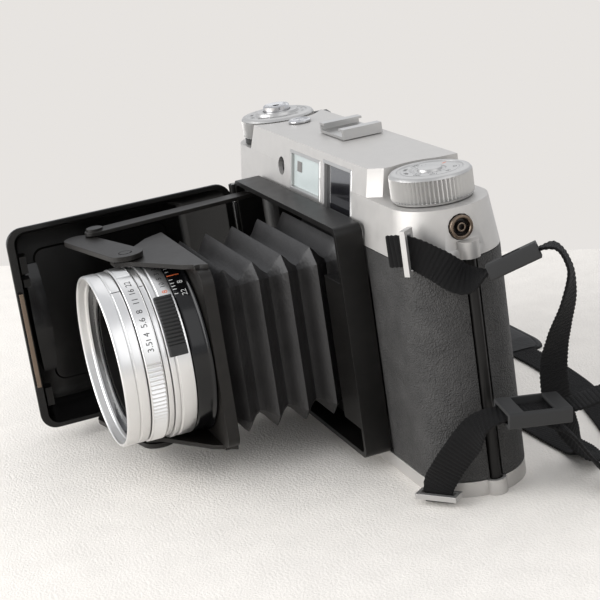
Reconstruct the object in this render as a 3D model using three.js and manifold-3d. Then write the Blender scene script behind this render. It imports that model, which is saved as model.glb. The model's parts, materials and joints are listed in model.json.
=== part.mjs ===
// A folding medium-format rangefinder camera, standing open on its base.
// Millimetres, +Z up. The lens points along -Y, the wearer's left hand is at +X.
// The origin is the middle of the base's bottom face, under the film chamber.

import * as THREE from 'three';
import { mergeVertices } from 'three/addons/utils/BufferGeometryUtils.js';
import Module from 'manifold-3d';

const wasm = await Module();
wasm.setup();

// ---- Driving dimensions ----

// Clearance between pieces that touch, and around pieces that turn.
const GAP = 0.3;

// Body: a bar with round ends, seen from above, between two metal covers.
const BODY_LENGTH = 178;
const BODY_DEPTH = 35;
const BODY_CENTRE_Y = 1;
const BASE_HEIGHT = 5;
const GRIP_TOP = 77;
const DECK_HEIGHT = 92.5;
const BLOCK_HEIGHT = 101.5;
const COVER_WALL = 1.5;
const COVER_DRAFT = 2;
const LEATHER_THICKNESS = 1;
const DOOR_WALL = 2;

// Raised block of the top cover, between the two dials.
const BLOCK_LEFT = -62;
const BLOCK_RIGHT = 57;
const BLOCK_FRONT = -12.6;
const BLOCK_BACK = 16;

// Lens and its standard.
const LENS_X = -2;
const LENS_Z = 44;
const LENS_TRAVEL = 60;
const BOARD_FRONT_Y = -66;
const BOARD_THICKNESS = 4;
const BOARD_HALF_WIDTH = 32;
const BOARD_HALF_HEIGHT = 31;
const RIM_RADIUS = 29.5;
const APERTURE_RING_RADIUS = 30;
const FOCUS_RING_RADIUS = 30.5;
const SCALE_RING_RADIUS = 30.5;

// Front frame and the door that folds over it.
const FRAME_LEFT = -52;
const FRAME_RIGHT = 50;
const FRAME_BOTTOM = 5.5;
const FRAME_TOP = 84.5;
const FRAME_FRONT = -26;
const FRAME_WALL = 1.8;
const FRAME_POST_LEFT = 34;
const DOOR_HINGE_X = -54;
const DOOR_LENGTH = 87;
const DOOR_CORNER = 6;
const DOOR_BOTTOM = 6.5;
const DOOR_TOP = 83.5;
const DOOR_SHEET = 1.5;
const DISH_DEPTH = 16.5;

// Film side.
const SPOOL_X = 71.5;
const SPOOL_RADIUS = 12.5;
const SPOOL_LENGTH = 65;
const CHAMBER_RADIUS = 13.4;
const CHAMBER_BOTTOM = 11;
const CHAMBER_TOP = 76.9;
const CASTING_TOP = 79;
const CASTING_BACK = 12.5;
const FILM_PLANE_Y = 10.5;
const PICTURE_WIDTH = 69;
const PICTURE_HEIGHT = 56;
const ROLLER_X = [-51.5, 47.5];
const ROLLER_RADIUS = 2;

// Controls on the deck.
const ISO_DIAL = { x: 69.5, y: 0.5, radius: 13 };
const SHUTTER_DIAL = { x: -69.5, y: 0.5, radius: 14 };
const DIAL_HEIGHT = 9.5;

// Bellows.
const BELLOWS_BACK_Y = 8.8;
const BELLOWS_FRONT_Y = BOARD_FRONT_Y + BOARD_THICKNESS + GAP;
const PLEATS = 7;
const PLEAT_DEPTH = 5.5;

// Smoothness of round stretches.
const FINE = 40;
const ROUND = 28;
const SMALL = 14;

const paint = (color, roughness, metalness) =>
  new THREE.MeshStandardMaterial({ color, roughness, metalness });

const SATIN_SILVER = paint(0xc9c8c6, 0.35, 1);
const BRIGHT_SILVER = paint(0xdcdcdc, 0.25, 1);
const BLACK_METAL = paint(0x1b1a19, 0.4, 0.6);
const BLACK_PLASTIC = paint(0x151515, 0.55, 0);
const LEATHERETTE = paint(0x2e2e2e, 0.8, 0);
const BELLOWS_SKIN = paint(0x202020, 0.7, 0);
const GLASS = paint(0x9fb2bb, 0.05, 0);
const FROSTED = paint(0xe6e8e4, 0.5, 0);
const BRASS = paint(0x9c7b45, 0.35, 1);
const STEEL = paint(0x9a9a9a, 0.3, 1);

// ---- Solid modelling helpers ----

const camera = new THREE.Group();

// Turns a closed three.js geometry into a solid, faces outwards.
function solid(geometry) {
  const bare = geometry.clone();
  bare.deleteAttribute('normal');
  bare.deleteAttribute('uv');
  const merged = mergeVertices(bare, 1e-4);
  const vertProperties = new Float32Array(merged.attributes.position.array);
  let triVerts = new Uint32Array(merged.index.array);
  triVerts = dropFlatTriangles(triVerts);
  if (signedVolume(vertProperties, triVerts) < 0) triVerts = turnOver(triVerts);
  return new wasm.Manifold(new wasm.Mesh({ numProp: 3, vertProperties, triVerts }));
}

function dropFlatTriangles(triangles) {
  const kept = [];
  for (let i = 0; i < triangles.length; i += 3) {
    const [a, b, c] = triangles.subarray(i, i + 3);
    if (a !== b && b !== c && c !== a) kept.push(a, b, c);
  }
  return new Uint32Array(kept);
}

function turnOver(triangles) {
  return triangles.map((_, i) => triangles[i % 3 === 0 ? i : i % 3 === 1 ? i + 1 : i - 1]);
}

function signedVolume(points, triangles) {
  const corner = (i) => new THREE.Vector3().fromArray(points, 3 * i);
  let total = 0;
  for (let i = 0; i < triangles.length; i += 3) {
    const [a, b, c] = [0, 1, 2].map((k) => corner(triangles[i + k]));
    total += a.dot(b.cross(c)) / 6;
  }
  return total;
}

// Adds a finished solid to a group as a named mesh.
function part(name, shape, material, group = camera) {
  const { vertProperties, triVerts } = shape.getMesh();
  const geometry = new THREE.BufferGeometry();
  geometry.setAttribute('position', new THREE.BufferAttribute(vertProperties, 3));
  geometry.setIndex(new THREE.BufferAttribute(triVerts, 1));
  geometry.computeVertexNormals();
  const mesh = new THREE.Mesh(geometry, material);
  mesh.name = name;
  group.add(mesh);
  return mesh;
}

const join = (...shapes) => shapes.reduce((a, b) => a.add(b));
const cut = (shape, ...tools) => tools.reduce((a, b) => a.subtract(b), shape);

function box(x0, x1, y0, y1, z0, z1) {
  const geometry = new THREE.BoxGeometry(x1 - x0, y1 - y0, z1 - z0);
  geometry.translate((x0 + x1) / 2, (y0 + y1) / 2, (z0 + z1) / 2);
  return solid(geometry);
}

// Matrices that carry a shape drawn in (u, v) and raised along w to each axis.
const ALONG = {
  x: new THREE.Matrix4().set(0, 0, 1, 0, 1, 0, 0, 0, 0, 1, 0, 0, 0, 0, 0, 1),
  y: new THREE.Matrix4().set(1, 0, 0, 0, 0, 0, 1, 0, 0, 1, 0, 0, 0, 0, 0, 1),
  z: new THREE.Matrix4(),
};

// Raises an outline along an axis: (y, z) along x, (x, z) along y, (x, y) along z.
function prism(axis, shape, from, to, curveSegments = 8) {
  const outline = shape instanceof THREE.Shape ? shape : polygon(shape);
  const settings = { depth: to - from, bevelEnabled: false, curveSegments };
  const geometry = new THREE.ExtrudeGeometry(outline, settings);
  geometry.translate(0, 0, from);
  geometry.applyMatrix4(ALONG[axis]);
  return solid(geometry);
}

function polygon(points) {
  return new THREE.Shape(points.map(([u, v]) => new THREE.Vector2(u, v)));
}

function roundedRectangle(u0, u1, v0, v1, radius) {
  const shape = new THREE.Shape();
  shape.moveTo(u0 + radius, v0);
  shape.absarc(u1 - radius, v0 + radius, radius, -Math.PI / 2, 0);
  shape.absarc(u1 - radius, v1 - radius, radius, 0, Math.PI / 2);
  shape.absarc(u0 + radius, v1 - radius, radius, Math.PI / 2, Math.PI);
  shape.absarc(u0 + radius, v0 + radius, radius, Math.PI, 1.5 * Math.PI);
  return shape;
}

// Turns a profile of [radius, height] points round an axis through (u, v).
function turned(axis, profile, u = 0, v = 0, segments = ROUND) {
  const points = profile.map(([r, h]) => new THREE.Vector2(r, h));
  const geometry = new THREE.LatheGeometry(points, segments);
  geometry.rotateX(Math.PI / 2);
  geometry.translate(u, v, 0);
  geometry.applyMatrix4(ALONG[axis]);
  return solid(geometry);
}

function rod(axis, radius, from, to, u = 0, v = 0, segments = ROUND) {
  return turned(axis, [[0, from], [radius, from], [radius, to], [0, to]], u, v, segments);
}

function ring(axis, inner, outer, from, to, u = 0, v = 0, segments = ROUND) {
  const profile = [[inner, from], [outer, from], [outer, to], [inner, to], [inner, from]];
  return turned(axis, profile, u, v, segments);
}

// Skins a row of equal-count outlines, capped at both ends.
function loft(outlines) {
  const count = outlines[0].length;
  const points = outlines.flat();
  const faces = [];
  for (let row = 0; row + 1 < outlines.length; row += 1) {
    for (let i = 0; i < count; i += 1) {
      const j = (i + 1) % count;
      const [a, b] = [row * count + i, row * count + j];
      faces.push(a, b, b + count, a, b + count, a + count);
    }
  }
  const flat = outlines[0].map((p) => new THREE.Vector2(p.x, p.y));
  const last = (outlines.length - 1) * count;
  for (const [a, b, c] of THREE.ShapeUtils.triangulateShape(flat, [])) {
    faces.push(a, c, b, last + a, last + b, last + c);
  }
  return solid(indexed(points, faces));
}

// Skins a closed loop of closed outlines: a hollow sleeve with open ends.
function sleeve(outlines) {
  const count = outlines[0].length;
  const faces = [];
  outlines.forEach((_, row) => {
    const next = (row + 1) % outlines.length;
    for (let i = 0; i < count; i += 1) {
      const j = (i + 1) % count;
      const [a, b, c, d] = [row * count + i, row * count + j, next * count + j, next * count + i];
      faces.push(a, b, c, a, c, d);
    }
  });
  return solid(indexed(outlines.flat(), faces));
}

function indexed(points, faces) {
  const geometry = new THREE.BufferGeometry().setFromPoints(points);
  geometry.setIndex(faces);
  return geometry;
}

// ---- Body outline ----

const END_RADIUS = BODY_DEPTH / 2;
const END_X = BODY_LENGTH / 2 - END_RADIUS;
const BODY_FRONT = BODY_CENTRE_Y - END_RADIUS;
const BODY_BACK = BODY_CENTRE_Y + END_RADIUS;

// The body seen from above, drawn in by an inset.
function bodyOutline(inset = 0) {
  const radius = END_RADIUS - inset;
  const shape = new THREE.Shape();
  shape.absarc(END_X, BODY_CENTRE_Y, radius, -Math.PI / 2, Math.PI / 2);
  shape.absarc(-END_X, BODY_CENTRE_Y, radius, Math.PI / 2, 1.5 * Math.PI);
  return shape;
}

function bodySlab(inset, z0, z1) {
  return prism('z', bodyOutline(inset), z0, z1, 11);
}

function taperedSlab(inset0, z0, inset1, z1) {
  const at = (inset, z) =>
    bodyOutline(inset).getPoints(11).slice(0, -1).map((p) => new THREE.Vector3(p.x, p.y, z));
  return loft([at(inset0, z0), at(inset1, z1)]);
}

// ---- Base ----

const TRIPOD = { x: 24, y: 1, radius: 6 };
const BATTERY = { x: -48.5, y: -3.5, radius: 7.8, lid: 9 };
const BATTERY_LENGTH = 27;
const BACK_PIN_X = -BODY_LENGTH / 2;
const BACK_PIN_Y = 1.8;
const BACK_BARREL_RADIUS = 2;
const BACK_PIN_RADIUS = 0.9;
const LOCK_BAR_X = BODY_LENGTH / 2 - 1;
const LOCK_BAR_RADIUS = 1.9;
const KNUCKLE_RADIUS = 3;
const LOCK_BAR_TRAVEL = 3;

function bottomCover() {
  const floor = 1.5;
  const holes = [
    rod('z', TRIPOD.radius + GAP, -1, BASE_HEIGHT + 1, TRIPOD.x, TRIPOD.y),
    rod('z', BATTERY.lid + GAP, -1, BASE_HEIGHT + 1, BATTERY.x, BATTERY.y),
    rod('z', BACK_PIN_RADIUS + GAP, floor, 20, BACK_PIN_X, BACK_PIN_Y, SMALL),
    rod('z', LOCK_BAR_RADIUS + GAP, floor, 20, LOCK_BAR_X, BACK_PIN_Y, SMALL),
  ];
  const tray = cut(bodySlab(0, 0, BASE_HEIGHT), bodySlab(COVER_WALL, floor, BASE_HEIGHT + 1));
  const collars = [
    ring('z', TRIPOD.radius + GAP, TRIPOD.radius + 2, 0, BASE_HEIGHT, TRIPOD.x, TRIPOD.y),
    ring('z', BATTERY.lid + GAP, BATTERY.lid + 2, 0, BASE_HEIGHT, BATTERY.x, BATTERY.y),
    rod('z', KNUCKLE_RADIUS, 0, BASE_HEIGHT, BACK_PIN_X, BACK_PIN_Y, SMALL),
    rod('z', KNUCKLE_RADIUS + 0.5, 0, BASE_HEIGHT, LOCK_BAR_X, BACK_PIN_Y, SMALL),
  ];
  part('bottom_cover', cut(join(tray, ...collars), ...holes), SATIN_SILVER);
}

function baseFittings() {
  const thread = 3.175;
  const bush = ring('z', thread, TRIPOD.radius, 0, BASE_HEIGHT, TRIPOD.x, TRIPOD.y);
  part('tripod_socket', bush, STEEL);
  const coinSlot = box(BATTERY.x - 6, BATTERY.x + 6, BATTERY.y - 0.8, BATTERY.y + 0.8, -1, 1);
  const lid = rod('z', BATTERY.lid, 0.2, 3.2, BATTERY.x, BATTERY.y);
  part('battery_lid', cut(lid, coinSlot), BLACK_METAL);
  const cell = turned('z', [
    [0, 3.5], [BATTERY.radius, 3.5], [BATTERY.radius, 3.5 + BATTERY_LENGTH - 1.5],
    [2.5, 3.5 + BATTERY_LENGTH - 1.5], [2.5, 3.5 + BATTERY_LENGTH], [0, 3.5 + BATTERY_LENGTH],
  ], BATTERY.x, BATTERY.y, SMALL);
  part('battery', cell, STEEL);
}

// ---- Casting: film chambers at the ends, light chamber in the middle ----

const LIGHT_LEFT = LENS_X - BOARD_HALF_WIDTH - 3;
const LIGHT_RIGHT = LENS_X + BOARD_HALF_WIDTH + 3;
const LIGHT_BOTTOM = LENS_Z - BOARD_HALF_HEIGHT - 3.4;
const LIGHT_TOP = LENS_Z + BOARD_HALF_HEIGHT + 2.2;
const CASTING_FRONT_INSET = LEATHER_THICKNESS + GAP;
const CASTING_BACK_INSET = DOOR_WALL + GAP + 0.1;

function castingBlank() {
  const bottom = BASE_HEIGHT + GAP;
  const front = bodySlab(CASTING_FRONT_INSET, bottom, GRIP_TOP - GAP);
  const frontHalf = cut(front, box(-100, 100, 0, 50, 0, 100));
  const backHalf = cut(bodySlab(CASTING_BACK_INSET, bottom, GRIP_TOP - GAP),
    box(-100, 100, CASTING_BACK, 50, 0, 100));
  const roof = cut(bodySlab(COVER_WALL + GAP + 0.7, GRIP_TOP - 1, CASTING_TOP),
    box(-100, 100, CASTING_BACK, 50, 0, 100));
  const tower = box(LIGHT_LEFT - 1.5, LIGHT_RIGHT + 1.5, BODY_FRONT + 2.2, CASTING_BACK,
    CASTING_TOP - 1, LIGHT_TOP + 1.6);
  return join(frontHalf, backHalf, roof, tower);
}

function bodyCasting() {
  const mouth = CHAMBER_RADIUS - 0.5;
  const chamber = (x) => join(
    rod('z', CHAMBER_RADIUS, CHAMBER_BOTTOM, CHAMBER_TOP, x, BODY_CENTRE_Y, FINE),
    box(x - mouth, x + mouth, 6, 40, CHAMBER_BOTTOM, CHAMBER_TOP),
  );
  const lightBox = box(LIGHT_LEFT, LIGHT_RIGHT, -40, FILM_PLANE_Y - 1.3, LIGHT_BOTTOM, LIGHT_TOP);
  const filmPath = box(-END_X, END_X, FILM_PLANE_Y - 1.3, 40, CHAMBER_BOTTOM, CHAMBER_TOP);
  const batteryWell = rod('z', BATTERY.radius + 0.6, 0, 34, BATTERY.x, BATTERY.y);
  const boardBay = box(LIGHT_RIGHT + 2, END_X - CHAMBER_RADIUS - 2, -12, 7, 16, 90);
  const rollerBays = ROLLER_X.map((x) =>
    rod('z', ROLLER_RADIUS + 0.4, CHAMBER_BOTTOM, CHAMBER_TOP, x, FILM_PLANE_Y - 0.2, SMALL));
  const lockBay = rod('z', LOCK_BAR_RADIUS + 0.4, 0, 100, LOCK_BAR_X, BACK_PIN_Y, SMALL);
  const bossBays = [BACK_PIN_X, LOCK_BAR_X].map((x) =>
    rod('z', KNUCKLE_RADIUS + 0.9, GRIP_TOP - 0.5, 100, x, BACK_PIN_Y, SMALL));
  const shape = cut(castingBlank(), lightBox, filmPath, batteryWell, boardBay, chamber(SPOOL_X),
    chamber(-SPOOL_X), ...rollerBays, lockBay, ...bossBays);
  part('body_casting', shape, BLACK_METAL);
}

// ---- Covers, grips and back ----

function grips() {
  const shell = cut(bodySlab(0, BASE_HEIGHT + GAP, GRIP_TOP - GAP),
    bodySlab(LEATHER_THICKNESS, 0, 100), box(-100, 100, -0.5, 50, 0, 100));
  const near = box(FRAME_RIGHT + GAP, 100, -50, 50, 0, 100);
  const far = box(-100, FRAME_LEFT - 5, -50, 50, 0, 100);
  part('grip_near', shell.intersect(near), LEATHERETTE);
  part('grip_far', shell.intersect(far), LEATHERETTE);
}

const VIEW_WINDOW = { x0: 14, x1: 38, z0: 82.5, z1: 98.5 };
const FRAME_WINDOW = { x0: -18, x1: 10, z0: 85, z1: 97.5 };
const RANGE_WINDOW = { x: -28, z: 91, radius: 3.3 };
const EYEPIECE = { x: 34, z: 90.5, halfWidth: 8, halfHeight: 6 };
const SOCKET = { y: 0.5, z: 86.5, radius: 3.8 };
const BUTTON_RADIUS = 5;

function blockOutline(front, back, inset) {
  return [
    [BLOCK_LEFT + inset, front], [BLOCK_RIGHT - 6 - inset, front],
    [BLOCK_RIGHT - 2 - inset, front + 4], [BLOCK_RIGHT - inset, back], [BLOCK_LEFT + inset, back],
  ];
}

function coverBlock(inset, z0, z1) {
  const row = (front, z) =>
    blockOutline(front + inset, BLOCK_BACK - inset, inset).map(([x, y]) => new THREE.Vector3(x, y, z));
  const block = loft([row(BLOCK_FRONT - 1.8, z0), row(BLOCK_FRONT, z1)]);
  const bay = (dial) => rod('z', dial.radius + 2.5 + inset, z0 - 1, z1 + 1, dial.x, dial.y, FINE);
  return cut(block, bay(ISO_DIAL), bay(SHUTTER_DIAL));
}

function coverOpenings() {
  const slot = (w) => box(w.x0, w.x1, -30, -8, w.z0, w.z1);
  const hole = (x, y, r) => rod('z', r, 60, 120, x, y, SMALL);
  const { halfWidth, halfHeight } = EYEPIECE;
  return [
    slot(VIEW_WINDOW), slot(FRAME_WINDOW),
    rod('y', RANGE_WINDOW.radius, -30, -8, RANGE_WINDOW.x, RANGE_WINDOW.z, SMALL),
    box(EYEPIECE.x - halfWidth, EYEPIECE.x + halfWidth, 10, 30,
      EYEPIECE.z - halfHeight, EYEPIECE.z + halfHeight),
    rod('x', SOCKET.radius + GAP, 80, 100, SOCKET.y, SOCKET.z, SMALL),
    hole(ISO_DIAL.x, ISO_DIAL.y, 3 + GAP), hole(SHUTTER_DIAL.x, SHUTTER_DIAL.y, BUTTON_RADIUS + GAP),
    box(87.4, 100, -8, 8, GRIP_TOP + 3, 120),
    box(LIGHT_LEFT - 2, LIGHT_RIGHT + 2, -30, BODY_FRONT + 4, GRIP_TOP - 1, LIGHT_TOP + 2),
  ];
}

function topCover() {
  const skin = taperedSlab(0, GRIP_TOP, COVER_DRAFT, DECK_HEIGHT);
  const inside = taperedSlab(COVER_WALL, GRIP_TOP - 0.1, COVER_DRAFT + COVER_WALL, DECK_HEIGHT - 1.3);
  const shell = cut(join(skin, coverBlock(0, DECK_HEIGHT - 0.5, BLOCK_HEIGHT)), inside,
    coverBlock(COVER_WALL, DECK_HEIGHT - 2, BLOCK_HEIGHT - 1.3));
  const bosses = [
    rod('z', KNUCKLE_RADIUS, GRIP_TOP, GRIP_TOP + 3, BACK_PIN_X, BACK_PIN_Y, SMALL),
    rod('z', KNUCKLE_RADIUS + 0.5, GRIP_TOP, GRIP_TOP + 5.3, LOCK_BAR_X, BACK_PIN_Y, SMALL),
  ];
  const pinHoles = [
    rod('z', BACK_PIN_RADIUS + GAP, 60, GRIP_TOP + 2, BACK_PIN_X, BACK_PIN_Y, SMALL),
    rod('z', LOCK_BAR_RADIUS + GAP, 60, GRIP_TOP + 4.9, LOCK_BAR_X, BACK_PIN_Y, SMALL),
  ];
  const open = cut(shell, ...coverOpenings());
  part('top_cover', cut(join(open, ...bosses), ...pinHoles), SATIN_SILVER);
}

function backDoor() {
  const z0 = BASE_HEIGHT + GAP;
  const z1 = GRIP_TOP - GAP;
  const wrap = cut(bodySlab(0, z0, z1), bodySlab(DOOR_WALL, 0, 100),
    box(-100, 100, -50, BACK_PIN_Y + 0.4, 0, 100));
  const panel = cut(bodySlab(DOOR_WALL - 0.5, z0, z1), box(-100, 100, -50, BODY_BACK - 3, 0, 100));
  const barrel = rod('z', BACK_BARREL_RADIUS, z0, z1, BACK_PIN_X, BACK_PIN_Y, SMALL);
  const lockBay = rod('z', LOCK_BAR_RADIUS + 0.5, 0, 100, LOCK_BAR_X, BACK_PIN_Y, SMALL);
  const pinHole = rod('z', BACK_PIN_RADIUS + 0.25, 0, 100, BACK_PIN_X, BACK_PIN_Y, SMALL);
  part('back_door', cut(join(wrap, panel, barrel), lockBay, pinHole), LEATHERETTE);
  const pin = rod('z', BACK_PIN_RADIUS, 2, GRIP_TOP + 1.7, BACK_PIN_X, BACK_PIN_Y, SMALL);
  part('back_hinge_pin', pin, STEEL);
  const bar = rod('z', LOCK_BAR_RADIUS, 2, GRIP_TOP + 1.5, LOCK_BAR_X, BACK_PIN_Y, SMALL);
  part('back_lock_bar', bar, BLACK_METAL);
}

// ---- Film transport ----

function spool(name, x, material) {
  const z0 = LENS_Z - SPOOL_LENGTH / 2;
  const z1 = LENS_Z + SPOOL_LENGTH / 2;
  const flange = 1;
  const core = 5;
  const profile = [
    [0, z0], [SPOOL_RADIUS, z0], [SPOOL_RADIUS, z0 + flange], [core, z0 + flange],
    [core, z1 - flange], [SPOOL_RADIUS, z1 - flange], [SPOOL_RADIUS, z1], [0, z1],
  ];
  const keyway = box(x - 3, x + 3, BODY_CENTRE_Y - 0.8, BODY_CENTRE_Y + 0.8, z1 - 4, z1 + 1);
  part(name, cut(turned('z', profile, x, BODY_CENTRE_Y), keyway), material);
}

function filmSide() {
  spool('supply_spool', SPOOL_X, BLACK_PLASTIC);
  spool('takeup_spool', -SPOOL_X, BLACK_PLASTIC);
  const halfWidth = 46;
  const z0 = CHAMBER_BOTTOM + GAP;
  const z1 = CHAMBER_TOP - GAP;
  const y0 = FILM_PLANE_Y - 1;
  const plate = box(LENS_X - halfWidth, LENS_X + halfWidth, y0, FILM_PLANE_Y, z0, z1);
  const picture = box(LENS_X - PICTURE_WIDTH / 2, LENS_X + PICTURE_WIDTH / 2, y0 - 1,
    FILM_PLANE_Y + 2, LENS_Z - PICTURE_HEIGHT / 2, LENS_Z + PICTURE_HEIGHT / 2);
  const rail = (z) => box(LENS_X - halfWidth, LENS_X + halfWidth, FILM_PLANE_Y - 0.2,
    FILM_PLANE_Y + 0.4, z - 0.8, z + 0.8);
  const rails = [LENS_Z - 30, LENS_Z + 30].map(rail);
  part('film_gate', cut(join(plate, ...rails), picture), BLACK_METAL);
  ['film_roller_far', 'film_roller_near'].forEach((name, i) => {
    part(name, rod('z', ROLLER_RADIUS, z0, z1, ROLLER_X[i], FILM_PLANE_Y - 0.2, SMALL), STEEL);
  });
  pressurePlate();
}

const PLATE_BACK_Y = FILM_PLANE_Y + 2.6;

// The plate that holds the film flat, and the leaf spring that hangs it on the back.
function pressurePlate() {
  const plate = prism('y', roundedRectangle(LENS_X - 38, LENS_X + 38, LENS_Z - 31, LENS_Z + 31, 4),
    PLATE_BACK_Y - 1.6, PLATE_BACK_Y, 4);
  part('pressure_plate', plate, BLACK_METAL);
  const seat = BODY_BACK - 3 - GAP;
  const touch = PLATE_BACK_Y + GAP;
  const leaf = 0.4;
  const strip = [
    [-26, seat], [-8, touch + leaf], [8, touch + leaf], [26, seat], [26, seat - leaf], [9, touch],
    [-9, touch], [-26, seat - leaf],
  ].map(([x, y]) => [LENS_X + x, y]);
  const strips = [-16, 16].map((z) => prism('z', strip, LENS_Z + z - 3, LENS_Z + z + 3));
  const bridge = box(LENS_X - 4, LENS_X + 4, touch, touch + leaf, LENS_Z - 16, LENS_Z + 16);
  part('plate_spring', join(bridge, ...strips), STEEL);
}

// ---- Finder and top fittings ----

function finder() {
  const pane = (w) => box(w.x0 + GAP, w.x1 - GAP, -12.6, -11.4, w.z0 + GAP, w.z1 - GAP);
  part('view_window', pane(VIEW_WINDOW), GLASS);
  part('frameline_window', pane(FRAME_WINDOW), FROSTED);
  const range = rod('y', RANGE_WINDOW.radius - GAP, -13, -11.6, RANGE_WINDOW.x, RANGE_WINDOW.z, SMALL);
  part('rangefinder_window', range, GLASS);
  const floor = LIGHT_TOP + 1.6 + GAP;
  const top = BLOCK_HEIGHT - 1.6 - GAP;
  const tunnel = cut(box(12.6, 45, -10.8, 11.5, floor, top),
    box(14.1, 43.5, -12, 12, floor + 1.2, top - 1.2));
  part('finder_housing', tunnel, BLACK_PLASTIC);
  const prismBlock = prism('z', [[15, -4], [26, -4], [26, 7], [15, 7]], floor + 1.5, top - 1.5);
  part('beamsplitter_prism', prismBlock, GLASS);
}

function eyepiece() {
  const { x, z, halfWidth, halfHeight } = EYEPIECE;
  const outer = roundedRectangle(x - halfWidth - 1.6, x + halfWidth + 1.6,
    z - halfHeight - 1.6, z + halfHeight + 1.6, 3);
  const plug = box(x - halfWidth + GAP, x + halfWidth - GAP, 12, 19,
    z - halfHeight + GAP, z + halfHeight - GAP);
  const bore = box(x - halfWidth + 2, x + halfWidth - 2, 10, 30, z - halfHeight + 1.8, z + halfHeight - 1.8);
  const flange = prism('y', outer, BODY_BACK - 0.2, BODY_BACK + 2.6, 4);
  part('eyepiece', cut(join(plug, flange), bore), BLACK_PLASTIC);
  const lens = box(x - halfWidth + 2 + GAP, x + halfWidth - 2 - GAP, 17, 18.4,
    z - halfHeight + 1.8 + GAP, z + halfHeight - 1.8 - GAP);
  part('eyepiece_lens', lens, GLASS);
}

function hotShoe() {
  const [x, y] = [-7.5, 6];
  const z = BLOCK_HEIGHT + GAP;
  const halfWidth = 11;
  const base = box(x - halfWidth, x + halfWidth, y - 7.3, y + 7.3, z, z + 1);
  const rails = [-1, 1].map((side) => {
    const wall = box(x + side * (halfWidth - 0.5) - 0.5, x + side * (halfWidth - 0.5) + 0.5,
      y - 7.3, y + 7.3, z, z + 3.6);
    const lip = box(x + side * (halfWidth - 2) - 2, x + side * (halfWidth - 2) + 2,
      y - 7.3, y + 7.3, z + 2.8, z + 3.6);
    return join(wall, lip);
  });
  const hole = rod('z', 2.4, z - 1, z + 2, x, y, SMALL);
  const contact = rod('z', 1.6, z, z + 1.4, x, y, SMALL);
  const spring = box(x - 3, x + 3, y - 0.5, y + 0.5, z, z + 0.6);
  part('hot_shoe', join(cut(join(base, ...rails), hole), contact, spring),
    SATIN_SILVER);
}

function socketAndLugs() {
  const { y, z, radius } = SOCKET;
  part('flash_socket', turned('x', [
    [0, 84], [radius, 84], [radius, 88.4], [radius - 0.9, 88.4], [radius - 0.9, 86], [1.2, 86],
    [1.2, 87.6], [0, 87.6],
  ], y, z, SMALL), BRASS);
  strapLug('strap_lug_upper', GRIP_TOP + 5);
  strapLug('strap_lug_lower', BASE_HEIGHT / 2 + 0.6);
}

const LUG_ANGLE = -52 * Math.PI / 180;

// A short stud on the round end with a rectangular eye: the upper eye stands, the lower lies.
function strapLug(name, z) {
  const upper = name.endsWith('upper');
  const group = new THREE.Group();
  const reach = upper ? END_RADIUS - 0.4 : END_RADIUS + GAP;
  group.position.set(END_X + reach * Math.cos(LUG_ANGLE), BODY_CENTRE_Y + reach * Math.sin(LUG_ANGLE), z);
  group.rotation.set(upper ? Math.PI / 2 : 0, 0, LUG_ANGLE, 'ZYX');
  camera.add(group);
  const stud = rod('x', 1.6, 0, 3, 0, 0, SMALL);
  const eye = cut(box(2.4, 7.5, -7.1, 7.1, -0.9, 0.9), box(3.8, 6.1, -5.9, 5.9, -2, 2));
  part(name, join(stud, eye), SATIN_SILVER, group);
}

// ---- Neck strap: webbing strands, sliding buckles and the pad ----

const WEBBING_WIDTH = 10;
const WEBBING_THICKNESS = 1.4;
const WEBBING_REST = WEBBING_THICKNESS / 2 + 0.15;
const PAD_THICKNESS = 3.2;
const PAD_HALF_WIDTH = 11;
const PAD_NEAR_Y = 36;
const PAD_FAR_Y = 68;
const PAD_TURN_X = -70;
const PAD_NEAR_END = 20;
const PAD_FAR_END = -20;
const SLOT_RADIUS = 4.9;

// Where the webbing passes a lug: the middle of the eye's slot.
function lugSlot(reach, z) {
  const radius = reach + SLOT_RADIUS;
  return [END_X + radius * Math.cos(LUG_ANGLE), BODY_CENTRE_Y + radius * Math.sin(LUG_ANGLE), z];
}

const AWAY = [Math.cos(LUG_ANGLE), Math.sin(LUG_ANGLE), 0];
const UPPER_SLOT = lugSlot(END_RADIUS - 0.4, GRIP_TOP + 5);
const LOWER_SLOT = lugSlot(END_RADIUS + GAP, BASE_HEIGHT / 2 + 0.6);

// Middle line of each strand as [point, way the flat side faces].
const UP = [0, 0, 1];
const UPPER_BUCKLE = [-0.36, -0.24, 0.9];
const LOWER_BUCKLE = [0.05, 0.1, 0.99];
const UPPER_STRAND = [
  [[UPPER_SLOT[0] - 5.5, UPPER_SLOT[1] - 4.3, UPPER_SLOT[2]], AWAY],
  [UPPER_SLOT, AWAY],
  [[90.4, -10.3, 77.8], [0.82, -0.55, 0.15]],
  [[94.5, -3.6, 72.6], [0.7, -0.3, 0.6]],
  [[98, 3, 74], UPPER_BUCKLE],
  [[101, 10, 76.6], UPPER_BUCKLE],
  [[104, 17, 79.2], UPPER_BUCKLE],
  [[106, 21.5, 79.4], [0.1, 0.3, 0.93]],
  [[107.3, 24.6, 73], [0.5, 0.8, 0.3]],
  [[106.2, 24, 63], [0.8, 0.58, -0.1]],
  [[102, 22, 52], [0.92, 0.3, -0.25]],
  [[97.3, 21.6, 42], [0.95, 0.1, -0.3]],
  [[95, 22, 31], [1, 0.1, 0]],
  [[94.3, 24.5, 20], [0.95, 0.3, 0.1]],
  [[92.5, 30, 9.5], [0.6, 0.6, 0.5]],
  [[87, 35.5, 3], [0.1, 0.3, 0.95]],
  [[78, 37, WEBBING_REST + 0.2], UP],
  [[60, 36.4, WEBBING_REST], UP],
  [[PAD_NEAR_END + 20, PAD_NEAR_Y, WEBBING_REST], UP],
  [[PAD_NEAR_END + GAP, PAD_NEAR_Y, WEBBING_REST], UP],
];
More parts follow.
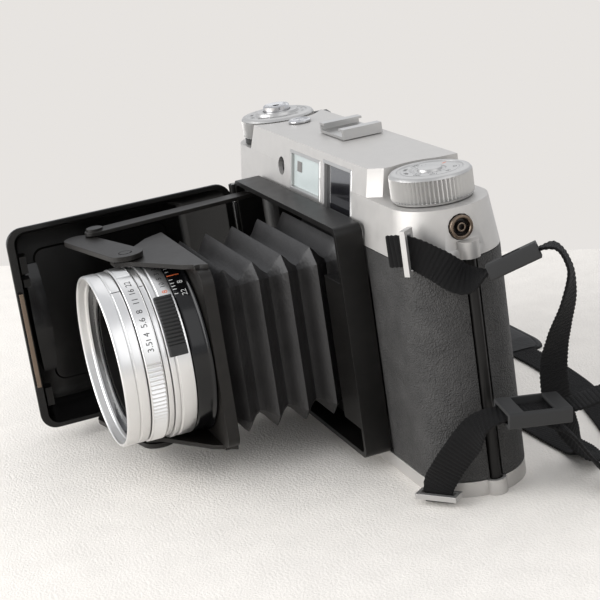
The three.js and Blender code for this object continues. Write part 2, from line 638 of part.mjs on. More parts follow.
const LOWER_STRAND = [
  [[LOWER_SLOT[0], LOWER_SLOT[1], 0.8], AWAY],
  [[LOWER_SLOT[0], LOWER_SLOT[1], 5.5], AWAY],
  [[89.4, -15.2, 12], [0.72, -0.62, -0.3]],
  [[95.2, -11, 21], [0.7, -0.6, 0]],
  [[100.5, -5.5, 29.5], [0.2, -0.4, 0.85]],
  [[103.4, 1, 31.2], LOWER_BUCKLE],
  [[104.6, 9, 30.4], LOWER_BUCKLE],
  [[105.8, 17, 29.6], LOWER_BUCKLE],
  [[107.2, 25, 30.2], [0.1, 0.1, 0.97]],
  [[108.8, 33.5, 31.5], [0.1, 0.25, 0.96]],
  [[109, 41, 28], [0.25, 0.75, 0.6]],
  [[107, 45, 18.5], [0.4, 0.9, 0.15]],
  [[102.5, 47, 9], [0.2, 0.8, 0.55]],
  [[94.5, 48.5, 3.4], [0, 0.2, 0.98]],
  [[84, 51, WEBBING_REST + 0.2], UP],
  [[60, 58, WEBBING_REST], UP],
  [[30, 65, WEBBING_REST], UP],
  [[0, PAD_FAR_Y, WEBBING_REST], UP],
  [[PAD_FAR_END + GAP, PAD_FAR_Y, WEBBING_REST], UP],
];
const TAIL_STRAND = [
  [[104.2, 12, 25.9], [0, 0.2, 0.98]],
  [[105.6, 18.5, 22], [0.1, 0.45, 0.88]],
  [[107, 24.5, 13], [0.15, 0.6, 0.78]],
  [[108, 30.5, 4.6], [0, 0.5, 0.86]],
  [[108.6, 37, WEBBING_REST + 0.1], UP],
];

const STRAND_STEPS = 3;

// Sweeps a flat rectangle along a strand's middle line.
function ribbon(strand) {
  const points = strand.map(([point]) => new THREE.Vector3(...point));
  const facings = strand.map(([, facing]) => new THREE.Vector3(...facing));
  const curve = new THREE.CatmullRomCurve3(points, false, 'centripetal');
  const spans = (points.length - 1) * STRAND_STEPS;
  const rows = Array.from({ length: spans + 1 }, (_, i) => {
    const t = i / spans;
    const at = Math.min(Math.floor(t * (points.length - 1)), points.length - 2);
    const facing = facings[at].clone().lerp(facings[at + 1], t * (points.length - 1) - at);
    return ribbonRow(curve.getPoint(t), curve.getTangent(t), facing);
  });
  return solid(indexed(rows.flat(), quadTube(rows.length)));
}

function ribbonRow(middle, along, facing) {
  const across = new THREE.Vector3().crossVectors(along, facing).normalize();
  const out = new THREE.Vector3().crossVectors(across, along).normalize();
  return [[1, 1], [-1, 1], [-1, -1], [1, -1]].map(([a, b]) => middle.clone()
    .addScaledVector(across, a * WEBBING_WIDTH / 2).addScaledVector(out, b * WEBBING_THICKNESS / 2));
}

// Faces of a row of four-cornered outlines, closed at both ends.
function quadTube(rowCount) {
  const faces = [0, 1, 2, 0, 2, 3];
  const last = 4 * (rowCount - 1);
  faces.push(last, last + 2, last + 1, last, last + 3, last + 2);
  for (let row = 0; row + 1 < rowCount; row += 1) {
    for (let i = 0; i < 4; i += 1) {
      const [a, b] = [4 * row + i, 4 * row + (i + 1) % 4];
      faces.push(a, b + 4, b, a, a + 4, b + 4);
    }
  }
  return faces;
}

// A sliding buckle round a straight stretch of a strand.
function buckle(name, [from, facing], [to], length) {
  const along = new THREE.Vector3(...to).sub(new THREE.Vector3(...from)).normalize();
  const across = new THREE.Vector3().crossVectors(along, new THREE.Vector3(...facing)).normalize();
  const out = new THREE.Vector3().crossVectors(across, along);
  const group = new THREE.Group();
  const middle = new THREE.Vector3(...from).lerp(new THREE.Vector3(...to), 0.5);
  const turn = new THREE.Matrix4().makeBasis(along, across.negate(), out);
  group.quaternion.setFromRotationMatrix(turn);
  group.position.copy(middle);
  camera.add(group);
  const half = length / 2;
  const frame = prism('x', roundedRectangle(-7.4, 7.4, -2.5, 2.5, 0.8), -half, half, 2);
  const slot = box(-half - 1, half + 1, -5.9, 5.9, -1.35, 1.35);
  const window = box(-half + 5, half - 5, -5.9, 5.9, 0, 4);
  part(name, cut(frame, slot, window), BLACK_PLASTIC, group);
}

// The pad lies flat in a U behind the camera.
function neckPad() {
  const turnY = (PAD_NEAR_Y + PAD_FAR_Y) / 2;
  const turn = (PAD_FAR_Y - PAD_NEAR_Y) / 2;
  const shape = new THREE.Shape();
  shape.moveTo(PAD_FAR_END, PAD_FAR_Y + PAD_HALF_WIDTH - 3);
  shape.lineTo(PAD_FAR_END - 8, PAD_FAR_Y + PAD_HALF_WIDTH);
  shape.absarc(PAD_TURN_X, turnY, turn + PAD_HALF_WIDTH, Math.PI / 2, 1.5 * Math.PI);
  shape.lineTo(PAD_NEAR_END - 8, PAD_NEAR_Y - PAD_HALF_WIDTH);
  shape.lineTo(PAD_NEAR_END, PAD_NEAR_Y - PAD_HALF_WIDTH + 3);
  shape.lineTo(PAD_NEAR_END, PAD_NEAR_Y + PAD_HALF_WIDTH - 3);
  shape.lineTo(PAD_NEAR_END - 8, PAD_NEAR_Y + PAD_HALF_WIDTH);
  shape.absarc(PAD_TURN_X, turnY, turn - PAD_HALF_WIDTH, 1.5 * Math.PI, Math.PI / 2, true);
  shape.lineTo(PAD_FAR_END - 8, PAD_FAR_Y - PAD_HALF_WIDTH);
  shape.lineTo(PAD_FAR_END, PAD_FAR_Y - PAD_HALF_WIDTH + 3);
  part('neck_pad', prism('z', shape, 0.1, 0.1 + PAD_THICKNESS, 10), BLACK_PLASTIC);
}

function neckStrap() {
  part('strap_webbing_upper', ribbon(UPPER_STRAND), BLACK_PLASTIC);
  part('strap_webbing_lower', ribbon(LOWER_STRAND), BLACK_PLASTIC);
  part('strap_webbing_tail', ribbon(TAIL_STRAND), BLACK_PLASTIC);
  buckle('buckle_upper', UPPER_STRAND[4], UPPER_STRAND[6], 16);
  buckle('buckle_lower', LOWER_STRAND[5], LOWER_STRAND[7], 20);
  neckPad();
}

// ---- Dials, button and lever ----

function isoDial() {
  const { x, y, radius } = ISO_DIAL;
  const z0 = DECK_HEIGHT + GAP;
  const z1 = z0 + DIAL_HEIGHT;
  part('iso_dial', turned('z', [
    [0, z0 - 6], [3, z0 - 6], [3, z0], [radius - 0.5, z0], [radius, z0 + 0.6], [radius, z1 - 2],
    [radius - 1, z1 - 0.6], [radius - 1.8, z1], [5, z1], [5, z1 - 0.6], [4, z1 - 0.6], [4, z1 + 0.4],
    [0, z1 + 0.4],
  ], x, y, FINE), BRIGHT_SILVER);
}

const LEVER_THICKNESS = 2;

function shutterDial() {
  const { x, y, radius } = SHUTTER_DIAL;
  const z0 = DECK_HEIGHT + LEVER_THICKNESS + 2 * GAP;
  const z1 = z0 + DIAL_HEIGHT - LEVER_THICKNESS;
  const bore = BUTTON_RADIUS + GAP;
  part('shutter_dial', turned('z', [
    [bore, z0], [radius, z0], [radius, z1 - 2], [radius - 1, z1 - 0.6], [radius - 1.8, z1],
    [8, z1], [7.5, z1 + 1], [bore, z1 + 1], [bore, z0],
  ], x, y, FINE), BRIGHT_SILVER);
  part('shutter_button', turned('z', [
    [0, z0 - 6], [BUTTON_RADIUS, z0 - 6], [BUTTON_RADIUS, z1 + 2.6], [BUTTON_RADIUS - 0.8, z1 + 3.2],
    [2, z1 + 2.7], [0, z1 + 2.7],
  ], x, y), BRIGHT_SILVER);
}

function advanceLever() {
  const { x, y, radius } = SHUTTER_DIAL;
  const z0 = DECK_HEIGHT + GAP;
  const z1 = z0 + LEVER_THICKNESS;
  const hub = rod('z', radius - 0.5, z0, z1, x, y);
  const arm = prism('z', [[x - 7, y + 6], [x + 3, y + 8], [x + 2, y + 20], [x - 5, y + 21]], z0, z1);
  const thumb = prism('z', [[x - 6, y + 17], [x + 2.2, y + 17], [x + 2, y + 21], [x - 5, y + 22]],
    z0, z1 + 4);
  const bore = rod('z', BUTTON_RADIUS + GAP, 0, 200, x, y);
  part('advance_lever', cut(join(hub, arm, thumb), bore), BLACK_METAL);
}

const COUNTER = { x: -46, y: 1 };

function frameCounter() {
  const z = BLOCK_HEIGHT + GAP;
  part('frame_counter', turned('z', [
    [0, z], [4.2, z], [4.2, z + 0.7], [3.8, z + 1], [3.2, z + 1], [2.9, z + 0.6], [0, z + 0.6],
  ], COUNTER.x, COUNTER.y, SMALL), BRIGHT_SILVER);
}

// ---- Front frame ----

function frontFrame() {
  const outline = roundedRectangle(FRAME_LEFT, FRAME_RIGHT, FRAME_BOTTOM, FRAME_TOP, 3);
  const back = BODY_FRONT - GAP;
  const walls = prism('y', outline, FRAME_FRONT, back, 4);
  const inner = roundedRectangle(FRAME_LEFT + FRAME_WALL, FRAME_RIGHT - FRAME_WALL,
    FRAME_BOTTOM + FRAME_WALL, FRAME_TOP - FRAME_WALL, 2);
  const hollow = prism('y', inner, -60, 0, 4);
  const post = box(FRAME_POST_LEFT, FRAME_RIGHT - 1, FRAME_FRONT, back, LENS_Z - 28, LENS_Z + 22);
  const catchSlot = box(FRAME_POST_LEFT - 1, FRAME_POST_LEFT + 4, -24.5, -19.5, LENS_Z - 22, LENS_Z + 16);
  const knuckles = [DOOR_BOTTOM + 1, DOOR_TOP - 7].map((z) => frameKnuckle(z, z + 6));
  part('front_frame', cut(join(cut(walls, hollow), post, ...knuckles, ...strutPins()), catchSlot,
    rod('z', DOOR_PIN_RADIUS + GAP, 0, 100, DOOR_HINGE_X, FRAME_FRONT, SMALL)), BLACK_METAL);
}

const DOOR_BARREL_RADIUS = 1.7;
const DOOR_PIN_RADIUS = 0.7;

function frameKnuckle(z0, z1) {
  const barrel = rod('z', DOOR_BARREL_RADIUS, z0, z1, DOOR_HINGE_X, FRAME_FRONT, SMALL);
  const web = box(DOOR_HINGE_X - 1, FRAME_LEFT + 0.5, FRAME_FRONT + 0.2, FRAME_FRONT + 1.6, z0, z1);
  return join(barrel, web);
}

// ---- Front door, drawn open: s runs forward from its hinge, t inwards ----

// Door drawn in plan as [s, t] points becomes [x, y].
const doorPlan = (points) => points.map(([s, t]) => [DOOR_HINGE_X + t, FRAME_FRONT - s]);

const DOOR_FOOT = 1.2;
const DISH_SLOPE_START = 4;
const DISH_SLOPE_END = 17;
const DISH_FAR = 84;

function frontDoor() {
  const outside = -GAP - DOOR_SHEET;
  const [inFace, outFace] = [DOOR_HINGE_X - GAP, DOOR_HINGE_X + outside];
  const sheet = (s0, s1, corner) => prism('x', roundedRectangle(FRAME_FRONT - s1, FRAME_FRONT - s0,
    DOOR_BOTTOM, DOOR_TOP, corner), outFace, inFace, 5);
  const flange = join(sheet(DOOR_FOOT, DOOR_LENGTH / 2, 0.5),
    sheet(DOOR_LENGTH / 3, DOOR_LENGTH, DOOR_CORNER));
  const dish = (grow, mouth) => [
    [DISH_SLOPE_START - grow, mouth], [DISH_SLOPE_END - grow, -DISH_DEPTH - GAP - grow],
    [DISH_FAR + grow, -DISH_DEPTH - GAP - grow], [DISH_FAR + grow, mouth],
  ];
  const [z0, z1] = [DOOR_BOTTOM + 1.8, DOOR_TOP - 1.8];
  const shell = prism('z', doorPlan(dish(DOOR_SHEET, -GAP - 0.1)), z0 - 1.2, z1 + 1.2);
  const hollow = prism('z', doorPlan(dish(0, 2)), z0, z1);
  const middle = [DOOR_BOTTOM + 7.4, DOOR_TOP - 7.4];
  const barrel = rod('z', DOOR_BARREL_RADIUS, ...middle, DOOR_HINGE_X, FRAME_FRONT, SMALL);
  const bore = rod('z', DOOR_PIN_RADIUS + GAP, 0, 100, DOOR_HINGE_X, FRAME_FRONT, SMALL);
  const clearEnds = [[0, middle[0]], [middle[1], 100]].map(([a, b]) =>
    rod('z', DOOR_BARREL_RADIUS + 0.5, a, b, DOOR_HINGE_X, FRAME_FRONT, SMALL));
  const floor = -DISH_DEPTH - GAP;
  const rib = (s0, s1, height, za, zb) => prism('z', doorPlan([
    [s0, floor - 0.2], [s1, floor - 0.2], [s1, floor + height], [s0, floor + height],
  ]), za, zb);
  const ribs = [rib(70, 79, 2.6, 20, 66), rib(30, 32, 1.4, 14, 76), rib(50, 52, 1.4, 14, 76)];
  part('front_door', cut(join(cut(join(flange, shell, barrel), hollow), ...ribs), bore, ...clearEnds),
    BLACK_METAL);
  const pin = rod('z', DOOR_PIN_RADIUS, DOOR_BOTTOM + 1, DOOR_TOP - 1, DOOR_HINGE_X, FRAME_FRONT, SMALL);
  part('door_hinge_pin', pin, STEEL);
}

function doorLatch() {
  const s = DISH_FAR + 1.5;
  const bar = prism('z', doorPlan([[s - 0.8, 0], [s + 0.8, 0], [s + 0.8, 1.6], [s - 0.8, 1.6]]),
    LENS_Z - 20, LENS_Z + 16);
  part('door_latch_bar', bar, STEEL);
}

// ---- Folding links ----

const LINK_LAYERS = {
  upper: { strut: [78.9, 80.3], plate: [76.8, 78.6], flange: [75, 76.5] },
  lower: { strut: [7.7, 9.1], plate: [9.4, 11.2], flange: [11.5, 13] },
};
const STRUT_PIVOT = { x: -45, y: -21.8 };
const STRUT_LENGTH = 62;
const STRUT_LEAN = 5.5 * Math.PI / 180;
const PLATE_PIVOT = { x: -5, y: -81.5 };
const PLATE_LENGTH = 35;
const PLATE_LEAN = 14 * Math.PI / 180;

// A flat bar with round ends from the origin along +X.
function linkOutline(length, radius0, radius1) {
  const shape = new THREE.Shape();
  shape.absarc(0, 0, radius0, Math.PI / 2, 1.5 * Math.PI);
  shape.absarc(length, 0, radius1, -Math.PI / 2, Math.PI / 2);
  return shape;
}

function linkPiece(name, pivot, heading, shape) {
  const group = new THREE.Group();
  group.position.set(pivot.x, pivot.y, 0);
  group.rotation.z = heading;
  camera.add(group);
  part(name, shape, BLACK_METAL, group);
}

function foldingLinks() {
  for (const [side, layer] of Object.entries(LINK_LAYERS)) {
    const hole = rod('z', 1.5 + GAP, 0, 100, 0, 0, SMALL);
    const bar = prism('z', linkOutline(STRUT_LENGTH, 3.4, 3.6), ...layer.strut, 6);
    const rivet = rod('z', 3, layer.strut[1] - 0.1, layer.strut[1] + 1, STRUT_LENGTH, 0, SMALL);
    const strut = cut(side === 'upper' ? join(bar, rivet) : bar, hole);
    linkPiece(`strut_${side}`, STRUT_PIVOT, STRUT_LEAN - Math.PI / 2, strut);
    const plate = cut(prism('z', linkOutline(PLATE_LENGTH, 6, 5), ...layer.plate, 6),
      rod('z', 2 + GAP, 0, 100, 0, 0, SMALL));
    linkPiece(`link_${side}`, PLATE_PIVOT, Math.PI + PLATE_LEAN, plate);
  }
}

// Studs of the frame that the struts turn on: the upper one hangs from the ceiling.
function strutPins() {
  const { x, y } = STRUT_PIVOT;
  const { upper, lower } = LINK_LAYERS;
  const ceiling = FRAME_TOP - FRAME_WALL + 0.1;
  const floor = FRAME_BOTTOM + FRAME_WALL - 0.1;
  return [
    rod('z', 1.5, upper.strut[0], ceiling, x, y, SMALL),
    rod('z', 2.6, upper.strut[1] + GAP, ceiling, x, y, SMALL),
    rod('z', 1.5, floor, lower.strut[1], x, y, SMALL),
  ];
}

// ---- Lens standard ----

function lensStandard() {
  const [x0, x1] = [LENS_X - BOARD_HALF_WIDTH, LENS_X + BOARD_HALF_WIDTH];
  const [z0, z1] = [LENS_Z - BOARD_HALF_HEIGHT, LENS_Z + BOARD_HALF_HEIGHT];
  const back = BOARD_FRONT_Y + BOARD_THICKNESS;
  const plate = prism('y', roundedRectangle(x0, x1, z0, z1, 5), BOARD_FRONT_Y, back, 5);
  const flange = (layer) => {
    const arm = [
      [x0 + 4, back], [x1 - 4, back], [x1 - 10, BOARD_FRONT_Y - 3], [PLATE_PIVOT.x + 6, PLATE_PIVOT.y],
      [PLATE_PIVOT.x + 3, PLATE_PIVOT.y - 5], [PLATE_PIVOT.x - 3, PLATE_PIVOT.y - 5],
      [PLATE_PIVOT.x - 6, PLATE_PIVOT.y], [x0 + 8, BOARD_FRONT_Y - 3],
    ];
    return prism('z', arm, ...layer);
  };
  const web = (za, zb) => box(x0 + 6, x1 - 6, BOARD_FRONT_Y, back, za, zb);
  const { upper, lower } = LINK_LAYERS;
  const pins = [
    rod('z', 2, upper.flange[1] - 0.2, upper.plate[1], PLATE_PIVOT.x, PLATE_PIVOT.y, SMALL),
    rod('z', 2, lower.plate[0], lower.flange[0] + 0.2, PLATE_PIVOT.x, PLATE_PIVOT.y, SMALL),
  ];
  const bore = rod('y', REAR_RADIUS + GAP, -100, 0, LENS_X, LENS_Z, FINE);
  part('lens_board', cut(join(plate, web(z1 - 2, upper.flange[1]), web(lower.flange[0], z0 + 2),
    flange(upper.flange), flange(lower.flange), ...pins), bore), BLACK_METAL);
}

const REAR_RADIUS = 13;
const THREAD_RADIUS = 22;

// Lens parts are drawn on the lens axis: y is measured in the camera's frame.
function lensRings() {
  const at = [LENS_X, LENS_Z];
  const front = BOARD_FRONT_Y - GAP;
  part('shutter_housing', turned('y', [
    [17.5, front], [THREAD_RADIUS, front], [THREAD_RADIUS, -80.9], [APERTURE_RING_RADIUS - 0.6, -80.9],
    [APERTURE_RING_RADIUS - 0.6, -82.6], [THREAD_RADIUS, -82.6], [THREAD_RADIUS, -91], [20.5, -91],
    [20.5, -76], [17.5, -76], [17.5, front],
  ], ...at, FINE), BLACK_METAL);
  const inner = THREAD_RADIUS + GAP;
  part('depth_scale_ring', ring('y', inner, SCALE_RING_RADIUS, -72.9, front, ...at, FINE), BLACK_METAL);
  const focus = ring('y', inner, FOCUS_RING_RADIUS, -80.6, -73.2, ...at, FINE);
  part('focus_ring', focus, BRIGHT_SILVER);
  part('aperture_ring', ring('y', inner, APERTURE_RING_RADIUS, -88.6, -82.9, ...at, FINE), BRIGHT_SILVER);
  part('front_ring', turned('y', [
    [inner, -88.9], [APERTURE_RING_RADIUS - 0.5, -88.9], [APERTURE_RING_RADIUS - 0.5, -92],
    [RIM_RADIUS, -92.6], [RIM_RADIUS, -97], [RIM_RADIUS - 1.6, -97], [25.2, -91.6], [inner, -91.6],
    [inner, -88.9],
  ], ...at, FINE), BRIGHT_SILVER);
  focusTab();
  opticalUnit(at);
}

const TAB_ANGLE = 26 * Math.PI / 180;
const TAB_HALF_SPAN = 20 * Math.PI / 180;

function focusTab() {
  const tab = new THREE.Group();
  tab.position.set(LENS_X, 0, LENS_Z);
  tab.rotation.y = -TAB_ANGLE;
  camera.add(tab);
  const outline = new THREE.Shape();
  outline.absarc(0, 0, FOCUS_RING_RADIUS + 1.8, -TAB_HALF_SPAN, TAB_HALF_SPAN);
  outline.absarc(0, 0, FOCUS_RING_RADIUS + GAP, TAB_HALF_SPAN, -TAB_HALF_SPAN, true);
  part('focus_tab', prism('y', outline, -80.2, -69.4, 6), BLACK_PLASTIC, tab);
}

function opticalUnit(at) {
  const cone = turned('y', [
    [15.5, -76.3], [20.2, -76.3], [20.2, -84], [24.6, -90.6], [23.2, -90.9], [15.5, -82], [15.5, -76.3],
  ], ...at, FINE);
  const housingClear = ring('y', 20.3, 30, -91.2, -70, ...at, FINE);
  part('lens_barrel', cut(cone, housingClear), BLACK_METAL);
  part('front_element', turned('y', [
    [0, -80.5], [15.2, -80.5], [15.2, -82], [12, -83.4], [7, -84.4], [0, -84.8],
  ], ...at), GLASS);
  part('rear_element', turned('y', [
    [0, -60.5], [7, -60.9], [REAR_RADIUS, -62.4], [REAR_RADIUS, -66], [0, -66],
  ], ...at), GLASS);
  const blades = ring('y', 8, 17.2, -74.4, -73.8, ...at);
  part('shutter_blades', blades, BLACK_METAL);
}

// ---- Bellows ----

// One square-cornered outline of the bellows at depth y, its corners cut by chamfer.
function bellowsOutline(y, halfWidth, halfHeight, chamfer) {
  const [w, h] = [halfWidth, halfHeight];
  return [
    [w, -h + chamfer], [w, h - chamfer], [w - chamfer, h], [-w + chamfer, h],
    [-w, h - chamfer], [-w, -h + chamfer], [-w + chamfer, -h], [w - chamfer, -h],
  ].map(([x, z]) => new THREE.Vector3(LENS_X + x, y, LENS_Z + z));
}

function bellows() {
  const wall = 1;
  const stations = Array.from({ length: 2 * PLEATS + 1 }, (_, i) => i);
  const row = (i, inset) => {
    const along = i / (2 * PLEATS);
    const y = THREE.MathUtils.lerp(BELLOWS_FRONT_Y, BELLOWS_BACK_Y, along);
    const peak = i % 2 === 1;
    const halfWidth = THREE.MathUtils.lerp(29.5, 33.5, along) - (peak ? 0 : PLEAT_DEPTH);
    const halfHeight = THREE.MathUtils.lerp(28.5, 31, along) - (peak ? 0 : PLEAT_DEPTH);
    return bellowsOutline(y, halfWidth - inset, halfHeight - inset, peak ? 5 : 1.2);
  };
  const outside = stations.map((i) => row(i, 0));
  const inside = stations.map((i) => row(i, wall)).reverse();
  part('bellows', sleeve([...outside, ...inside]), BELLOWS_SKIN);
}

// ---- Assembly ----

bottomCover();
baseFittings();
bodyCasting();
grips();
topCover();
backDoor();
filmSide();
finder();
eyepiece();
hotShoe();
socketAndLugs();
isoDial();
shutterDial();
advanceLever();
neckStrap();
frameCounter();
frontFrame();
frontDoor();
doorLatch();
foldingLinks();
lensStandard();
lensRings();
bellows();

export default camera;
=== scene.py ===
"""A folding medium-format rangefinder camera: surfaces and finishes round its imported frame.

Sizes are written in millimetres and scaled by MM when they reach a mesh.
"""

import json
import logging
import math
from dataclasses import dataclass, field
from enum import Enum
from typing import Callable, Optional, Sequence

import bmesh
import bpy
import numpy as np
from mathutils import Matrix, Vector


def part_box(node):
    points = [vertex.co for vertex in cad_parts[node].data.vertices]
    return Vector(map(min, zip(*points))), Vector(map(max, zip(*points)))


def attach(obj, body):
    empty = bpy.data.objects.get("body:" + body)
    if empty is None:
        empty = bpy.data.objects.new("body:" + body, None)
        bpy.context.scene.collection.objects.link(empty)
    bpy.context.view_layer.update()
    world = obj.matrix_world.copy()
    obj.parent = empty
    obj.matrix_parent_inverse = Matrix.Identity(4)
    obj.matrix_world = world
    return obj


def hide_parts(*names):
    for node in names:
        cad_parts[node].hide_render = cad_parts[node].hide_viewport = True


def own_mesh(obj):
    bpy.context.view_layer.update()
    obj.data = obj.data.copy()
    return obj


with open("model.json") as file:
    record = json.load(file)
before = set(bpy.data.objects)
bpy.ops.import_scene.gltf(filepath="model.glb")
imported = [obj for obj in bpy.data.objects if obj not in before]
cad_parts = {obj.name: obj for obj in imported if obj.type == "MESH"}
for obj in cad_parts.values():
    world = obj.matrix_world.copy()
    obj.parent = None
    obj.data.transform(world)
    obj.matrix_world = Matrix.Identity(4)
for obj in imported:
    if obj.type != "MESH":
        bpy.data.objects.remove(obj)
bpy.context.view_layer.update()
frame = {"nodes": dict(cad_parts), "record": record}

LOG = logging.getLogger("folding_camera")
MM = 0.001
TAU = 2.0 * math.pi
Point = tuple[float, float, float]
Profile = Sequence[tuple[float, float]]
FlatMark = tuple[np.ndarray, list[list[int]]]
Ripple = Callable[[np.ndarray, np.ndarray], np.ndarray]
Socket = bpy.types.NodeSocket
Tree = bpy.types.NodeTree


# ---- Finishes ----


class Grain(Enum):
    """The fine relief of a surface."""

    SATIN = "satin"
    PEBBLE = "pebble"
    LEATHER = "leather"
    TURNED = "turned"
    WOVEN = "woven"
    CLEAR = "clear"


@dataclass(frozen=True)
class Finish:
    """One surface finish, built as a node material when it is first asked for."""

    name: str
    colour: tuple[float, float, float]
    metallic: float = 0.0
    roughness: float = 0.5
    grain: Grain = Grain.SATIN
    scale: float = 2500.0
    relief: float = 0.15
    depth: float = 0.00004
    tint: float = 0.1
    coat: float = 0.0
    sheen: float = 0.0
    transmission: float = 0.0
    specular: float = 0.5

    def material(self) -> bpy.types.Material:
        """Return the finish's material, made once.

        Returns:
            The material with all its nodes.
        """
        known = bpy.data.materials.get(self.name)
        if known is not None:
            return known
        made = bpy.data.materials.new(self.name)
        made.use_nodes = True
        made.diffuse_color = (*self.colour, 1.0)
        tree = made.node_tree
        shader = tree.nodes["Principled BSDF"]
        shader.inputs["Metallic"].default_value = self.metallic
        shader.inputs["Coat Weight"].default_value = self.coat
        shader.inputs["Coat Roughness"].default_value = 0.12
        shader.inputs["Specular IOR Level"].default_value = self.specular
        shader.inputs["Sheen Weight"].default_value = self.sheen
        shader.inputs["Transmission Weight"].default_value = self.transmission
        coords = tree.nodes.new("ShaderNodeTexCoord")
        where = coords.outputs["UV" if self.grain is Grain.WOVEN else "Object"]
        cloud = self._noise(tree, coords.outputs["Object"], self.scale / 14.0, 3.0)
        self._colour(tree, cloud, shader)
        self._gloss(tree, cloud, shader)
        if self.grain is not Grain.CLEAR:
            height = self._height(tree, where)
            bump = tree.nodes.new("ShaderNodeBump")
            bump.inputs["Strength"].default_value = self.relief
            bump.inputs["Distance"].default_value = self.depth
            tree.links.new(height, bump.inputs["Height"])
            tree.links.new(bump.outputs["Normal"], shader.inputs["Normal"])
        return made

    def _noise(self, tree: Tree, where: Socket, scale: float, detail: float) -> Socket:
        """Add a noise texture.

        Args:
            tree: The material's nodes.
            where: The socket of the coordinates.
            scale: How fine the noise is.
            detail: How many finer layers it has.

        Returns:
            Its factor socket.
        """
        node = tree.nodes.new("ShaderNodeTexNoise")
        node.inputs["Scale"].default_value = scale
        node.inputs["Detail"].default_value = detail
        node.inputs["Roughness"].default_value = 0.55
        tree.links.new(where, node.inputs["Vector"])
        return node.outputs["Fac"]

    def _colour(self, tree: Tree, cloud: Socket, shader: bpy.types.Node) -> None:
        """Let the base colour drift a little between a darker and a lighter tone.

        Args:
            tree: The material's nodes.
            cloud: The socket of the slow noise that it follows.
            shader: The surface shader.
        """
        ramp = tree.nodes.new("ShaderNodeValToRGB")
        dark, light = ramp.color_ramp.elements
        dark.position, light.position = 0.3, 0.7
        dark.color = (*[c * (1.0 - self.tint) for c in self.colour], 1.0)
        light.color = (*[min(1.0, c * (1.0 + self.tint)) for c in self.colour], 1.0)
        tree.links.new(cloud, ramp.inputs["Fac"])
        tree.links.new(ramp.outputs["Color"], shader.inputs["Base Color"])

    def _gloss(self, tree: Tree, cloud: Socket, shader: bpy.types.Node) -> None:
        """Let the roughness drift by a few hundredths.

        Args:
            tree: The material's nodes.
            cloud: The socket of the slow noise that it follows.
            shader: The surface shader.
        """
        spread = min(0.06, self.roughness * 0.4)
        node = tree.nodes.new("ShaderNodeMapRange")
        node.inputs["To Min"].default_value = self.roughness - spread
        node.inputs["To Max"].default_value = self.roughness + spread
        tree.links.new(cloud, node.inputs["Value"])
        tree.links.new(node.outputs["Result"], shader.inputs["Roughness"])

    def _height(self, tree: Tree, where: Socket) -> Socket:
        """Build this grain's relief.

        Args:
            tree: The material's nodes.
            where: The socket of the coordinates.

        Returns:
            The height socket.
        """
        if self.grain in (Grain.PEBBLE, Grain.LEATHER):
            return self._cells(tree, where)
        if self.grain is Grain.TURNED:
            return self._grooves(tree, where)
        if self.grain is Grain.WOVEN:
            return self._weave(tree, where)
        return self._noise(tree, where, self.scale, 4.0)

    def _cells(self, tree: Tree, where: Socket) -> Socket:
        """Roughen rounded cells by noise, for a pebbled covering or leather.

        Args:
            tree: The material's nodes.
            where: The socket of the coordinates.

        Returns:
            The height socket.
        """
        cell = tree.nodes.new("ShaderNodeTexVoronoi")
        cell.feature = "SMOOTH_F1" if self.grain is Grain.PEBBLE else "F1"
        cell.inputs["Scale"].default_value = self.scale
        tree.links.new(where, cell.inputs["Vector"])
        noise = self._noise(tree, where, self.scale * 0.45, 5.0)
        return self._math(tree, "ADD", cell.outputs["Distance"], noise)

    def _grooves(self, tree: Tree, where: Socket) -> Socket:
        """Lay fine lathe marks: noise drawn out across the turning axis.

        Args:
            tree: The material's nodes.
            where: The socket of the coordinates.

        Returns:
            The height socket.
        """
        squeeze = tree.nodes.new("ShaderNodeMapping")
        squeeze.inputs["Scale"].default_value = (0.04, 1.0, 0.04)
        tree.links.new(where, squeeze.inputs["Vector"])
        return self._noise(tree, squeeze.outputs["Vector"], self.scale * 3.0, 2.0)

    def _weave(self, tree: Tree, where: Socket) -> Socket:
        """Add two crossed bands of threads together.

        Args:
            tree: The material's nodes.
            where: The socket of the coordinates.

        Returns:
            The height socket.
        """
        bands = []
        for direction in ("X", "Y"):
            wave = tree.nodes.new("ShaderNodeTexWave")
            wave.bands_direction = direction
            wave.inputs["Scale"].default_value = self.scale
            wave.inputs["Distortion"].default_value = 0.6
            wave.inputs["Detail"].default_value = 2.0
            tree.links.new(where, wave.inputs["Vector"])
            bands.append(wave.outputs["Fac"])
        return self._math(tree, "ADD", *bands)

    @staticmethod
    def _math(tree: Tree, operation: str, first: Socket, second: Socket) -> Socket:
        """Combine two sockets with a Math node.

        Args:
            tree: The material's nodes.
            operation: The node's operation.
            first: The first value.
            second: The second value.

        Returns:
            The result socket.
        """
        node = tree.nodes.new("ShaderNodeMath")
        node.operation = operation
        tree.links.new(first, node.inputs[0])
        tree.links.new(second, node.inputs[1])
        return node.outputs[0]


